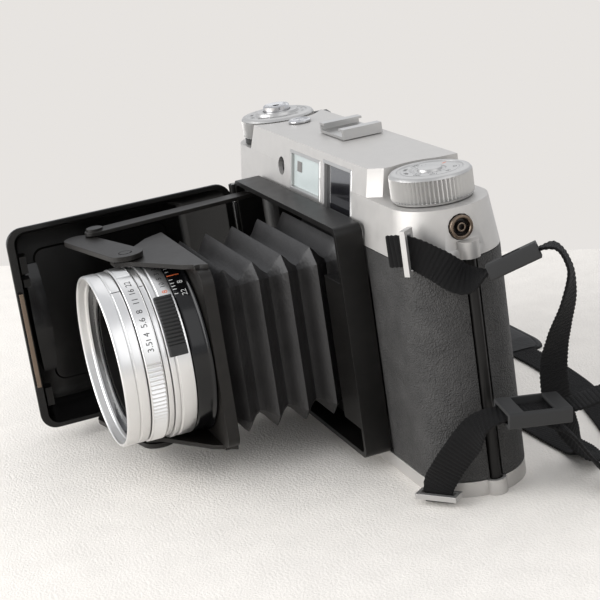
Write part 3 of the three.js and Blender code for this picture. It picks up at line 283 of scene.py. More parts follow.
SATIN_SILVER = Finish("satin_silver_cover", (0.53, 0.515, 0.495), 0.6, 0.48, scale=3200.0,
                      relief=0.35, depth=0.00003, tint=0.03)
DIAL_SILVER = Finish("turned_dial_silver", (0.50, 0.495, 0.485), 0.8, 0.34, Grain.TURNED, 900.0,
                     0.25, 0.00002, 0.03)
BRIGHT_SILVER = Finish("turned_silver", (0.78, 0.775, 0.765), 0.9, 0.3, Grain.TURNED, 900.0,
                       0.25, 0.00002, 0.03)
CHROME = Finish("polished_chrome", (0.62, 0.62, 0.63), 1.0, 0.16, scale=900.0, relief=0.03)
BLACK_METAL = Finish("satin_black_metal", (0.0065, 0.006, 0.0055), 0.1, 0.4, scale=2600.0,
                     relief=0.3, depth=0.00003, tint=0.25, specular=0.3)
DARK_SHEET = Finish("brown_black_sheet", (0.011, 0.0097, 0.0085), 0.2, 0.42, scale=2400.0,
                    relief=0.3, depth=0.00003, tint=0.2, specular=0.35)
GLOSS_BLACK = Finish("gloss_black_ring", (0.005, 0.005, 0.0055), 0.0, 0.16, scale=900.0,
                     relief=0.05, tint=0.1, coat=0.2, specular=0.3)
DOOR_LACQUER = Finish("door_lacquer", (0.004, 0.0038, 0.0036), 0.0, 0.22, scale=700.0,
                      relief=0.12, depth=0.00006, tint=0.2, specular=0.35)
BLACK_PLASTIC = Finish("black_plastic", (0.007, 0.007, 0.0075), 0.0, 0.42, scale=2600.0,
                       relief=0.3, depth=0.00003, tint=0.15, specular=0.35)
GRIP = Finish("pebbled_grip", (0.040, 0.039, 0.038), 0.0, 0.6, Grain.PEBBLE, 2100.0, 1.0,
              0.00045, 0.25, specular=0.4)
BELLOWS_LEATHER = Finish("bellows_leather", (0.020, 0.019, 0.019), 0.0, 0.45, Grain.LEATHER,
                         1100.0, 0.55, 0.0001, 0.25)
DARK_GLASS = Finish("coated_glass", (0.010, 0.010, 0.012), 0.0, 0.03, Grain.CLEAR, tint=0.3,
                    coat=1.0)
FROSTED = Finish("frosted_window", (0.50, 0.55, 0.54), 0.0, 0.35, scale=900.0, relief=0.1,
                 tint=0.04, coat=0.3)
FIELD_GREY = Finish("rangefinder_field", (0.16, 0.15, 0.14), 0.0, 0.3, Grain.CLEAR)
BRONZE = Finish("bronze_rim", (0.20, 0.155, 0.12), 1.0, 0.25, scale=1200.0, relief=0.1)
STEEL = Finish("bare_steel", (0.50, 0.49, 0.47), 1.0, 0.3, scale=1500.0, relief=0.15)
WEBBING = Finish("ribbed_webbing", (0.0045, 0.0042, 0.0045), 0.0, 0.7, Grain.WOVEN, 330.0, 0.7,
                 0.0002, 0.3, specular=0.25)
PAD_CLOTH = Finish("pad_cloth", (0.006, 0.006, 0.0065), 0.0, 0.6, Grain.LEATHER, 700.0, 0.5,
                   0.00012, 0.25, specular=0.3)
INK_BLACK = Finish("engraved_black", (0.02, 0.02, 0.02), 0.0, 0.6, Grain.CLEAR)
INK_WHITE = Finish("engraved_white", (0.82, 0.82, 0.80), 0.0, 0.6, Grain.CLEAR)
INK_ORANGE = Finish("engraved_orange", (0.80, 0.16, 0.05), 0.0, 0.6, Grain.CLEAR)
TABLE_LINEN = Finish("table_linen", (0.88, 0.84, 0.785), 0.0, 0.95, Grain.SATIN, 1100.0, 0.5,
                     0.0008, 0.03)


# ---- Mesh tools ----


def smooth(piece: bpy.types.Object, angle: float = 34.0) -> None:
    """Shade a piece smooth, with edges sharper than an angle kept crisp.

    Args:
        piece: The mesh object.
        angle: The angle in degrees.
    """
    piece.data.shade_smooth()
    piece.data.set_sharp_from_angle(angle=math.radians(angle))


def new_piece(name: str, points: np.ndarray, faces: Sequence[Sequence[int]], finish: Finish,
              closed: bool = True, angle: float = 34.0) -> bpy.types.Object:
    """Make a mesh object at the origin from points in millimetres.

    Args:
        name: The piece's name.
        points: Its corners, one row each.
        faces: Its faces as corner numbers.
        finish: Its finish.
        closed: Whether it is a closed shell, whose faces are turned outwards.
        angle: The angle in degrees above which an edge stays sharp.

    Returns:
        The new object, linked to the scene.
    """
    mesh = bpy.data.meshes.new(name)
    mesh.from_pydata((points * MM).tolist(), [], [list(map(int, face)) for face in faces])
    work = bmesh.new()
    work.from_mesh(mesh)
    bmesh.ops.remove_doubles(work, verts=work.verts, dist=1e-6)
    if closed:
        bmesh.ops.recalc_face_normals(work, faces=work.faces)
    work.to_mesh(mesh)
    work.free()
    mesh.materials.append(finish.material())
    piece = bpy.data.objects.new(name, mesh)
    bpy.context.scene.collection.objects.link(piece)
    smooth(piece, angle)
    return piece


def grid_faces(rows: int, columns: int, wrap_rows: bool, wrap_columns: bool) -> np.ndarray:
    """Return the quads of a grid, whose corner (i, j) has number i * columns + j.

    Args:
        rows: How many rows of corners there are.
        columns: How many corners each row has.
        wrap_rows: Whether the last row joins the first.
        wrap_columns: Whether the last column joins the first.

    Returns:
        An array with four corner numbers a face.
    """
    i, j = np.meshgrid(np.arange(rows if wrap_rows else rows - 1),
                       np.arange(columns if wrap_columns else columns - 1), indexing="ij")
    below, beside = (i + 1) % rows, (j + 1) % columns
    quads = [i * columns + j, i * columns + beside, below * columns + beside, below * columns + j]
    return np.stack([quad.ravel() for quad in quads], axis=1)


def eased(profile: Profile, radius: float, steps: int = 3, closed: bool = True) -> np.ndarray:
    """Round the corners of a profile: each becomes a short quadratic curve.

    The curve from a to c past corner b is (1-t)^2 a + 2t(1-t) b + t^2 c, where a and c lie
    at most a radius, or 0.4 of the side, away from b.

    Args:
        profile: The corners in order.
        radius: How far from a corner the curve starts.
        steps: How many stretches each curve has.
        closed: Whether the last corner joins the first.

    Returns:
        The eased corners, one row each.
    """
    corners = np.asarray(profile, float)
    before, after = np.roll(corners, 1, 0) - corners, np.roll(corners, -1, 0) - corners
    starts, ends = (corners + side * np.minimum(0.4, radius / np.maximum(
        np.linalg.norm(side, axis=1, keepdims=True), 1e-9)) for side in (before, after))
    t = np.linspace(0.0, 1.0, steps + 1)[None, :, None]
    curve = ((1 - t) ** 2 * starts[:, None] + 2 * t * (1 - t) * corners[:, None]
             + t ** 2 * ends[:, None])
    if not closed:
        curve[0], curve[-1] = corners[0], corners[-1]
    return curve.reshape(-1, 2)


class Axis(Enum):
    """The axis that a lathe turns about."""

    X = "x"
    Y = "y"
    Z = "z"


def lathe(name: str, profile: np.ndarray, centre: Point, axis: Axis, finish: Finish,
          segments: int = 144, closed: bool = True,
          ripple: Optional[Ripple] = None) -> bpy.types.Object:
    """Turn a profile round an axis.

    A point at radius r, height h and angle a lies at the centre plus r cos(a) along X,
    r sin(a) along the other cross axis, and h along the axis.

    Args:
        name: The piece's name.
        profile: Rows of (radius, height), in order.
        centre: A point on the axis.
        axis: The axis.
        finish: The finish.
        segments: How many stretches the circle has.
        closed: Whether the profile's last point joins its first.
        ripple: Gives the radius to add from the angles and the heights.

    Returns:
        The new object.
    """
    angle = np.linspace(0.0, TAU, segments, endpoint=False)[None, :]
    radius = profile[:, :1] + np.zeros_like(angle)
    height = profile[:, 1:] + np.zeros_like(angle)
    if ripple is not None:
        radius = radius + ripple(angle, profile)
    across, up = radius * np.cos(angle), radius * np.sin(angle)
    order = {Axis.X: (height, across, up), Axis.Y: (across, height, up),
             Axis.Z: (across, up, height)}[axis]
    grid = np.stack(order, axis=-1) + np.asarray(centre)
    faces = grid_faces(len(profile), segments, closed, True)
    return new_piece(name, grid.reshape(-1, 3), faces, finish)


def knurl(teeth: int, depth: float, low: float, high: float, edge: float,
          span: tuple[float, float] = (0.0, TAU)) -> Ripple:
    """Return a ripple that cuts straight teeth into a band of a lathe's outer wall.

    The cut is depth * (0.5 + 0.5 cos(teeth * angle)) to the power 0.8, and it is nothing
    outside the band's heights, inside the edge radius, and outside the span of angles.

    Args:
        teeth: How many teeth a full circle has.
        depth: How deep they are.
        low: The height at which the band starts.
        high: The height at which it ends.
        edge: The radius beyond which the wall is cut.
        span: The angles between which it is cut.

    Returns:
        The ripple for a lathe.
    """
    def ripple(angle: np.ndarray, profile: np.ndarray) -> np.ndarray:
        """Return the radius to add at each angle and profile point.

        Args:
            angle: One row of angles.
            profile: Rows of (radius, height).

        Returns:
            One row a profile point, one column an angle.
        """
        band = ((profile[:, 1:] > low) & (profile[:, 1:] < high) & (profile[:, :1] > edge))
        turn = np.mod(angle - span[0], TAU) <= span[1] - span[0]
        return -depth * band * turn * (0.5 + 0.5 * np.cos(teeth * angle)) ** 0.8
    return ripple


def with_rows(profile: np.ndarray, longest: float) -> np.ndarray:
    """Split a closed profile's sides so that none is longer than a length.

    Args:
        profile: The corners, one row each.
        longest: The longest side that stays whole.

    Returns:
        The corners with the new ones between them.
    """
    rows = []
    for start, end in zip(profile, np.roll(profile, -1, 0)):
        count = max(1, int(math.ceil(np.linalg.norm(end - start) / longest)))
        rows.append(start + (end - start) * np.linspace(0, 1, count, endpoint=False)[:, None])
    return np.concatenate(rows)


def glyphs(text: str, size: float) -> FlatMark:
    """Return generic figures as a flat mesh, centred on the origin.

    Args:
        text: The figures.
        size: The letter size in millimetres.

    Returns:
        The corners in millimetres, and the faces.
    """
    curve = bpy.data.curves.new("figures", "FONT")
    curve.body, curve.size = text, size
    curve.align_x, curve.align_y = "CENTER", "CENTER"
    curve.resolution_u = 3
    holder = bpy.data.objects.new("figures", curve)
    bpy.context.scene.collection.objects.link(holder)
    bpy.context.view_layer.update()
    mesh = bpy.data.meshes.new_from_object(holder.evaluated_get(
        bpy.context.evaluated_depsgraph_get()))
    points = np.empty(3 * len(mesh.vertices))
    mesh.vertices.foreach_get("co", points)
    faces = [list(face.vertices) for face in mesh.polygons]
    bpy.data.objects.remove(holder)
    bpy.data.curves.remove(curve)
    bpy.data.meshes.remove(mesh)
    return points.reshape(-1, 3), faces


def bar(width: float, height: float) -> FlatMark:
    """Return a flat upright mark as corners and one face."""
    x, y = width / 2.0, height / 2.0
    return np.array([[-x, -y, 0.0], [x, -y, 0.0], [x, y, 0.0], [-x, y, 0.0]]), [[0, 1, 2, 3]]


def gather(parts: Sequence[FlatMark]) -> FlatMark:
    """Join several flat meshes into one.

    Args:
        parts: The meshes, each as corners and faces.

    Returns:
        All their corners, and their faces renumbered to match.
    """
    points, faces, start = [], [], 0
    for corners, sides in parts:
        points.append(corners)
        faces += [[start + k for k in side] for side in sides]
        start += len(corners)
    return np.concatenate(points), faces


def round_lens(flat: FlatMark, centre: Point, radius: float, angle: float,
               depth: float) -> FlatMark:
    """Bend a flat mark round the lens barrel.

    A point (x, y) goes to the angle plus x / radius, at the depth less y along the axis.

    Args:
        flat: The mark's corners and faces.
        centre: A point on the lens axis.
        radius: The barrel's radius.
        angle: Where the mark's middle lies, in degrees from +X towards +Z.
        depth: Where it lies along Y.

    Returns:
        The bent mark.
    """
    points, faces = flat
    turn = math.radians(angle) + points[:, 0] / radius
    bent = np.stack([radius * np.cos(turn), depth - points[:, 1], radius * np.sin(turn)], axis=1)
    bent[:, [0, 2]] += [centre[0], centre[2]]
    return bent, faces


def on_dial(flat: FlatMark, centre: Point, radius: float, angle: float) -> FlatMark:
    """Lay a flat mark on a dial's top, its foot towards the middle of the dial.

    A point (x, y) goes the radius plus y outwards at the angle, and x sideways from there.

    Args:
        flat: The mark's corners and faces.
        centre: The middle of the dial's top.
        radius: How far out the mark's middle lies.
        angle: Where it lies, in degrees from +X towards +Y.

    Returns:
        The laid mark.
    """
    points, faces = flat
    turn = math.radians(angle)
    out = np.array([math.cos(turn), math.sin(turn)])
    side = np.array([math.sin(turn), -math.cos(turn)])
    laid = np.zeros_like(points)
    laid[:, :2] = (radius + points[:, 1:2]) * out + points[:, :1] * side
    return laid + np.asarray(centre), faces


BLOCK_FACES = ((0, 3, 2, 1), (4, 5, 6, 7), (0, 1, 5, 4), (1, 2, 6, 5), (2, 3, 7, 6), (3, 0, 4, 7))


# ---- Putting pieces on the frame ----


BODY_OF = {node: body for body, nodes in frame["record"]["behaviour"]["bodies"].items()
           for node in nodes}


def settle(piece: bpy.types.Object, *nodes: str, body: str = "", shown_too: bool = False) -> None:
    """Ride a piece on a body, and let it stand for its nodes.

    Args:
        piece: The new piece.
        nodes: The nodes it belongs to; the first gives the body.
        body: The body, where it isn't the first node's.
        shown_too: Whether the nodes stay in sight.
    """
    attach(piece, body or BODY_OF[nodes[0]])
    if not shown_too:
        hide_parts(*nodes)
    LOG.info("%s on %s", piece.name, body or BODY_OF[nodes[0]])


def refined(node: str, finish: Finish, bevel: float, steps: int = 2) -> bpy.types.Object:
    """Replace a hard node by a copy whose edges are broken as a maker would.

    Args:
        node: The node's name.
        finish: The finish.
        bevel: The width of the broken edges in millimetres.
        steps: How many stretches the broken edge has.

    Returns:
        The copy.
    """
    mesh = frame["nodes"][node].data.copy()
    work = bmesh.new()
    work.from_mesh(mesh)
    bmesh.ops.remove_doubles(work, verts=work.verts, dist=2e-6)
    bmesh.ops.dissolve_limit(work, angle_limit=math.radians(0.6), verts=work.verts,
                             edges=work.edges)
    work.to_mesh(mesh)
    work.free()
    mesh.materials.clear()
    mesh.materials.append(finish.material())
    copy = bpy.data.objects.new(node + "_finished", mesh)
    bpy.context.scene.collection.objects.link(copy)
    smooth(copy)
    edge = copy.modifiers.new("broken_edges", "BEVEL")
    edge.width = bevel * MM
    edge.segments = steps
    edge.limit_method = "ANGLE"
    edge.angle_limit = math.radians(38.0)
    edge.harden_normals = True
    edge.use_clamp_overlap = True
    settle(copy, node)
    return copy


# ---- Studio ----


@dataclass
class Studio:
    """The camera, the pale table and the soft lamps."""

    eye: Point = (522.6, -195.2, 212.9)
    azimuth: float = 71.9
    elevation: float = 16.6
    roll: float = -8.64
    lens: float = 98.57
    table_edge: tuple[tuple[float, float], tuple[float, float]] = ((-346.9, -77.0), (-121.3, 161.9))
    table_reach: float = 2500.0
    table_depth: float = 3500.0
    wall_grey: tuple[float, float, float] = (0.80, 0.775, 0.75)
    room_colour: tuple[float, float, float] = (0.95, 0.965, 1.0)
    room_strength: float = 0.76
    aim: Point = (0.0, -20.0, 45.0)
    lamps: Sequence[tuple[str, Point, float, float]] = (
        ("key", (-60.0, -760.0, 250.0), 800.0, 7.4), ("side", (620.0, 260.0, 480.0), 700.0, 1.2),
        ("back", (-420.0, 320.0, 560.0), 700.0, 0.7))

    def build(self) -> None:
        """Make the camera, the table, the world and the lamps."""
        self.place_camera()
        self.lay_table()
        self.set_world()
        for name, place, size, power in self.lamps:
            self.lamp(name, place, size, power)
        bpy.context.scene.view_settings.view_transform = "Standard"

    def place_camera(self) -> None:
        """Turn the camera to its azimuth and elevation, then roll it about its line of sight."""
        turn, rise = math.radians(self.azimuth), math.radians(self.elevation)
        forward = Vector((-math.sin(turn) * math.cos(rise), math.cos(turn) * math.cos(rise),
                          -math.sin(rise)))
        level = forward.cross(Vector((0.0, 0.0, 1.0))).normalized()
        above = level.cross(forward)
        roll = math.radians(self.roll)
        up = math.cos(roll) * above - math.sin(roll) * level
        right = math.sin(roll) * above + math.cos(roll) * level
        data = bpy.data.cameras.new("view")
        data.lens, data.sensor_width, data.clip_start = self.lens, 36.0, 0.01
        camera = bpy.data.objects.new("view", data)
        turned = Matrix((right, up, -forward)).transposed().to_4x4()
        camera.matrix_world = Matrix.Translation(Vector(self.eye) * MM) @ turned
        bpy.context.scene.collection.objects.link(camera)
        bpy.context.scene.camera = camera

    def lay_table(self) -> None:
        """Lay a flat linen table whose far edge runs between the two edge points."""
        start, end = (np.array(point) for point in self.table_edge)
        along = (end - start) / np.linalg.norm(end - start)
        toward = np.array([along[1], -along[0]])
        left, right = start - self.table_reach * along, end + self.table_reach * along
        near = self.table_depth * toward
        corners = [left, right, right + near, left + near]
        points = np.array([[x, y, 0.0] for x, y in corners])
        table = new_piece("table", points, [[0, 1, 2, 3]], TABLE_LINEN, closed=False)
        if table.data.polygons[0].normal.z < 0.0:
            table.data.flip_normals()

    def set_world(self) -> None:
        """Light from all round at a plain level, and a pale grey behind the table."""
        world = bpy.data.worlds.new("soft_room")
        bpy.context.scene.world = world
        world.use_nodes = True
        tree = world.node_tree
        room = tree.nodes["Background"]
        room.inputs["Color"].default_value = (*self.room_colour, 1.0)
        room.inputs["Strength"].default_value = self.room_strength
        wall = tree.nodes.new("ShaderNodeBackground")
        wall.inputs["Color"].default_value = (*self.wall_grey, 1.0)
        wall.inputs["Strength"].default_value = 1.0
        path = tree.nodes.new("ShaderNodeLightPath")
        mix = tree.nodes.new("ShaderNodeMixShader")
        tree.links.new(path.outputs["Is Camera Ray"], mix.inputs["Fac"])
        tree.links.new(room.outputs["Background"], mix.inputs[1])
        tree.links.new(wall.outputs["Background"], mix.inputs[2])
        tree.links.new(mix.outputs["Shader"], tree.nodes["World Output"].inputs["Surface"])

    def lamp(self, name: str, place: Point, size: float, power: float) -> None:
        """Hang one square soft lamp that faces the middle of the object.

        Args:
            name: The lamp's name.
            place: Where it hangs.
            size: The length of its sides.
            power: Its power in watts.
        """
        data = bpy.data.lights.new(name, "AREA")
        data.size, data.energy = size * MM, power
        lamp = bpy.data.objects.new(name, data)
        aim = Vector(self.aim) - Vector(place)
        turned = aim.to_track_quat("-Z", "Y").to_matrix().to_4x4()
        lamp.matrix_world = Matrix.Translation(Vector(place) * MM) @ turned
        bpy.context.scene.collection.objects.link(lamp)


# ---- Neck strap ----


def centripetal(points: np.ndarray, steps: int) -> np.ndarray:
    """Return a smooth curve through points: a centripetal Catmull-Rom spline.

    Each span is the cubic whose end slopes come from its neighbours, with knots spaced by
    the square root of the distance between points.

    Args:
        points: The points, one row each.
        steps: How many stretches each span has.

    Returns:
        The curve's points.
    """
    padded = np.vstack([2 * points[0] - points[1], points, 2 * points[-1] - points[-2]])
    p0, p1, p2, p3 = (padded[k:len(padded) - 3 + k, None] for k in range(4))
    gap0, gap1, gap2 = (np.sqrt(np.linalg.norm(b - a, axis=2, keepdims=True))
                        for a, b in ((p0, p1), (p1, p2), (p2, p3)))
    slope1 = ((p1 - p0) / gap0 - (p2 - p0) / (gap0 + gap1) + (p2 - p1) / gap1) * gap1
    slope2 = ((p2 - p1) / gap1 - (p3 - p1) / (gap1 + gap2) + (p3 - p2) / gap2) * gap1
    t = np.linspace(0.0, 1.0, steps, endpoint=False)[None, :, None]
    curve = (p1 * (2 * t ** 3 - 3 * t ** 2 + 1) + slope1 * (t ** 3 - 2 * t ** 2 + t)
             + p2 * (3 * t ** 2 - 2 * t ** 3) + slope2 * (t ** 3 - t ** 2))
    return np.vstack([curve.reshape(-1, 3), points[-1]])


def even(curve: np.ndarray, step: float) -> tuple[np.ndarray, np.ndarray]:
    """Space points evenly along a curve.

    Args:
        curve: The curve's points, one row each.
        step: About how far apart the new points are.

    Returns:
        The new points, and the length run up to each of the curve's own points.
    """
    run = np.concatenate([[0.0], np.cumsum(np.linalg.norm(np.diff(curve, axis=0), axis=1))])
    at = np.linspace(0.0, run[-1], max(8, int(run[-1] / step)))
    return np.stack([np.interp(at, run, curve[:, k]) for k in range(3)], axis=1), run


@dataclass
class Strand:
    """One strand of flat webbing, given as points and the ways its flat side faces."""

    name: str
    node: str
    route: Sequence[tuple[Point, Point]]
    width: float = 10.0
    thickness: float = 1.3
    rib: float = 1.45
    step: float = 0.36
    columns: int = 12
    spans: int = 24
    path_points: int = 38
    path: list[Point] = field(default_factory=list)
    length: float = 0.0

    def build(self) -> bpy.types.Object:
        """Carry the ribbed cross-section along the route.

        Corner a of the section lies at x = w/2 * cos(a) stretched to a flat oblong and
        z = t/2 * sin(a), where the thickness swells by a sine of the length run, once a rib.

        Returns:
            The webbing.
        """
        points = np.array([point for point, _ in self.route], float)
        facing = np.array([way for _, way in self.route], float)
        curve = centripetal(points, self.spans)
        middle, run = even(curve, self.step)
        knots = np.linspace(0, len(points) - 1, len(curve))
        at = np.interp(np.linspace(0, run[-1], len(middle)), run, knots)
        whole = np.minimum(at.astype(int), len(points) - 2)
        part = (at - whole)[:, None]
        face = facing[whole] * (1 - part) + facing[whole + 1] * part
        along = np.gradient(middle, axis=0)
        along /= np.linalg.norm(along, axis=1, keepdims=True)
        across = np.cross(along, face)
        across /= np.linalg.norm(across, axis=1, keepdims=True)
        out = np.cross(across, along)
        length = np.linspace(0, run[-1], len(middle))[:, None]
        swell = self.thickness / 2 - 0.26 + 0.26 * np.abs(np.sin(math.pi * length / self.rib))
        angle = np.linspace(0, TAU, 2 * self.columns, endpoint=False)[None, :]
        x = self.width / 2 * np.sign(np.cos(angle)) * np.abs(np.cos(angle)) ** 0.6
        z = swell * np.sign(np.sin(angle)) * np.abs(np.sin(angle)) ** 0.3
        x = x * (1.0 - 0.02 * np.cos(TAU * length / self.rib))
        grid = middle[:, None] + x[..., None] * across[:, None] + z[..., None] * out[:, None]
        count = len(middle)
        faces = [list(quad) for quad in grid_faces(count, 2 * self.columns, False, True)]
        ring = list(range(2 * self.columns))
        faces += [ring[::-1], [k + (count - 1) * 2 * self.columns for k in ring]]
        piece = new_piece(self.name, grid.reshape(-1, 3), faces, WEBBING)
        self.unwrap(piece, middle, across, length[:, 0])
        spacing = max(1, count // self.path_points)
        self.path = [tuple(point) for point in (middle[:-1:spacing] * MM).tolist()]
        self.path.append(tuple((middle[-1] * MM).tolist()))
        self.length = float(run[-1]) * MM
        settle(piece, self.node)
        return piece

    def unwrap(self, piece: bpy.types.Object, middle: np.ndarray, across: np.ndarray,
               length: np.ndarray) -> None:
        """Lay a UV map: u is the distance across in decimetres, v the length run.

        Args:
            piece: The webbing.
            middle: The points of its middle line.
            across: The way its width runs at each of them.
            length: The length run up to each of them.
        """
        mesh = piece.data
        corners = np.empty(3 * len(mesh.vertices))
        mesh.vertices.foreach_get("co", corners)
        corners = corners.reshape(-1, 3) / MM
        nearest = np.concatenate([
            np.argmin(((block[:, None] - middle[None]) ** 2).sum(axis=2), axis=1)
            for block in np.array_split(corners, 1 + len(corners) // 1500)])
        side = ((corners - middle[nearest]) * across[nearest]).sum(axis=1)
        flat = np.stack([side, length[nearest]], axis=1) * 0.01
        loops = np.empty(len(mesh.loops), int)
        mesh.loops.foreach_get("vertex_index", loops)
        layer = mesh.uv_layers.new(name="along")
        layer.data.foreach_set("uv", flat[loops].ravel())


AWAY = (0.6157, -0.788, 0.0)
UP = (0.0, 0.0, 1.0)
UPPER_BUCKLE = (-0.36, -0.24, 0.9)
LOWER_BUCKLE = (0.05, 0.1, 0.99)
UPPER_ROUTE = (
    ((79.545, -20.637, 82.0), AWAY), ((85.045, -16.337, 82.0), AWAY),
    ((90.4, -10.3, 77.8), (0.82, -0.55, 0.15)), ((94.5, -3.6, 72.6), (0.7, -0.3, 0.6)),
    ((98.0, 3.0, 74.0), UPPER_BUCKLE), ((101.0, 10.0, 76.6), UPPER_BUCKLE),
    ((104.0, 17.0, 79.2), UPPER_BUCKLE), ((106.0, 21.5, 79.4), (0.1, 0.3, 0.93)),
    ((107.3, 24.6, 73.0), (0.5, 0.8, 0.3)), ((106.2, 24.0, 63.0), (0.8, 0.58, -0.1)),
    ((102.0, 22.0, 52.0), (0.92, 0.3, -0.25)), ((97.3, 21.6, 42.0), (0.95, 0.1, -0.3)),
    ((95.0, 22.0, 31.0), (1.0, 0.1, 0.0)), ((94.3, 24.5, 20.0), (0.95, 0.3, 0.1)),
    ((92.5, 30.0, 9.5), (0.6, 0.6, 0.5)), ((87.0, 35.5, 3.0), (0.1, 0.3, 0.95)),
    ((78.0, 37.0, 1.05), UP), ((60.0, 36.4, 0.85), UP), ((40.0, 36.0, 0.85), UP),
    ((20.3, 36.0, 0.85), UP),
)
LOWER_ROUTE = (
    ((85.476, -16.888, 0.8), AWAY), ((85.476, -16.888, 5.5), AWAY),
    ((89.4, -15.2, 12.0), (0.72, -0.62, -0.3)), ((95.2, -11.0, 21.0), (0.7, -0.6, 0.0)),
    ((100.5, -5.5, 29.5), (0.2, -0.4, 0.85)), ((103.4, 1.0, 31.2), LOWER_BUCKLE),
    ((104.6, 9.0, 30.4), LOWER_BUCKLE), ((105.8, 17.0, 29.6), LOWER_BUCKLE),
    ((107.2, 25.0, 30.2), (0.1, 0.1, 0.97)), ((108.8, 33.5, 31.5), (0.1, 0.25, 0.96)),
    ((109.0, 41.0, 28.0), (0.25, 0.75, 0.6)), ((107.0, 45.0, 18.5), (0.4, 0.9, 0.15)),
    ((102.5, 47.0, 9.0), (0.2, 0.8, 0.55)), ((94.5, 48.5, 3.4), (0.0, 0.2, 0.98)),
    ((84.0, 51.0, 1.05), UP), ((60.0, 58.0, 0.85), UP), ((30.0, 65.0, 0.85), UP),
    ((0.0, 68.0, 0.85), UP), ((-19.7, 68.0, 0.85), UP),
)
TAIL_ROUTE = (
    ((104.2, 12.0, 25.9), (0.0, 0.2, 0.98)), ((105.6, 18.5, 22.0), (0.1, 0.45, 0.88)),
    ((107.0, 24.5, 13.0), (0.15, 0.6, 0.78)), ((108.0, 30.5, 4.6), (0.0, 0.5, 0.86)),
    ((108.6, 37.0, 0.95), UP),
)


@dataclass
class NeckStrap:
    """Three strands of webbing, two sliding buckles and the soft pad behind the body."""

    pad_half_width: float = 11.0
    pad_low: float = 0.1
    pad_height: float = 3.2
    near_y: float = 36.0
    far_y: float = 68.0
    turn_x: float = -70.0
    near_end: float = 20.0
    far_end: float = -20.0

    def build(self) -> None:
        """Make every piece of the strap."""
        buckles = {node: refined(node, BLACK_PLASTIC, 0.5, 3)
                   for node in ("buckle_upper", "buckle_lower")}
        pad = self.pad()
        upper = Strand("webbing_upper", "strap_webbing_upper", UPPER_ROUTE)
        lower = Strand("webbing_lower", "strap_webbing_lower", LOWER_ROUTE)
        tail = Strand("webbing_tail", "strap_webbing_tail", TAIL_ROUTE)
        rows = ((upper, upper.build(), [buckles["buckle_upper"]]),
                (lower, lower.build(), [buckles["buckle_lower"], tail.build()]))

    def pad(self) -> bpy.types.Object:
        """Make the crowned pad along its U.

        At a distance q across, from -1 to 1, the top is low + height * (0.4 + 0.6 *
        (1 - q^4)) less a sewn channel's dip at |q| = 0.78, and both ends narrow and thin.

        Returns:
            The pad.
        """
        middle_y, turn = (self.near_y + self.far_y) / 2, (self.far_y - self.near_y) / 2
        angle = np.linspace(1.5 * math.pi, 0.5 * math.pi, 40)
        bend = np.stack([self.turn_x + turn * np.cos(angle), middle_y + turn * np.sin(angle)], 1)
        line = np.vstack([[self.near_end, self.near_y], bend, [self.far_end, self.far_y]])
        flat = np.hstack([line, np.zeros((len(line), 1))])
        middle, run = even(flat, 1.3)
        along = np.gradient(middle, axis=0)
        along /= np.linalg.norm(along, axis=1, keepdims=True)
        across = np.cross(along, [0.0, 0.0, 1.0])
        at = np.linspace(0.0, run[-1], len(middle))[:, None]
        near_tip = np.clip(np.minimum(at, run[-1] - at) / 9.0, 0.0, 1.0)
        width = self.pad_half_width * (0.72 + 0.28 * np.sqrt(1 - (1 - near_tip) ** 2))
        q = np.linspace(-1.0, 1.0, 45)[None, :]
        crown = 0.4 + 0.6 * (1 - np.abs(q) ** 4)
        seam = 0.22 * np.exp(-((np.abs(q) - 0.78) / 0.035) ** 2)
        stitch = 0.03 * np.cos(TAU * at / 2.6) * (np.abs(np.abs(q) - 0.78) < 0.05)
        thick = self.pad_height * (0.55 + 0.45 * near_tip)
        top = self.pad_low + thick * (crown - seam + stitch)
        under = np.full_like(top, self.pad_low) + 0.25 * (1 - np.sqrt(1 - 0.96 * q ** 8))
        side = middle[:, None] + (width * q)[..., None] * across[:, None]
        upper, lower = side.copy(), side[:, ::-1].copy()
        upper[..., 2], lower[..., 2] = top, under[:, ::-1]
        grid = np.concatenate([upper, lower], axis=1)
        count, columns = grid.shape[:2]
        faces = [list(quad) for quad in grid_faces(count, columns, False, True)]
        half = columns // 2
        for row in (0, count - 1):
            faces += [[row * columns + k, row * columns + k + 1, row * columns + columns - 2 - k,
                       row * columns + columns - 1 - k] for k in range(half - 1)]
        piece = new_piece("soft_pad", grid.reshape(-1, 3), faces, PAD_CLOTH, angle=60.0)
        settle(piece, "neck_pad")
        return piece


# ---- Lens ----


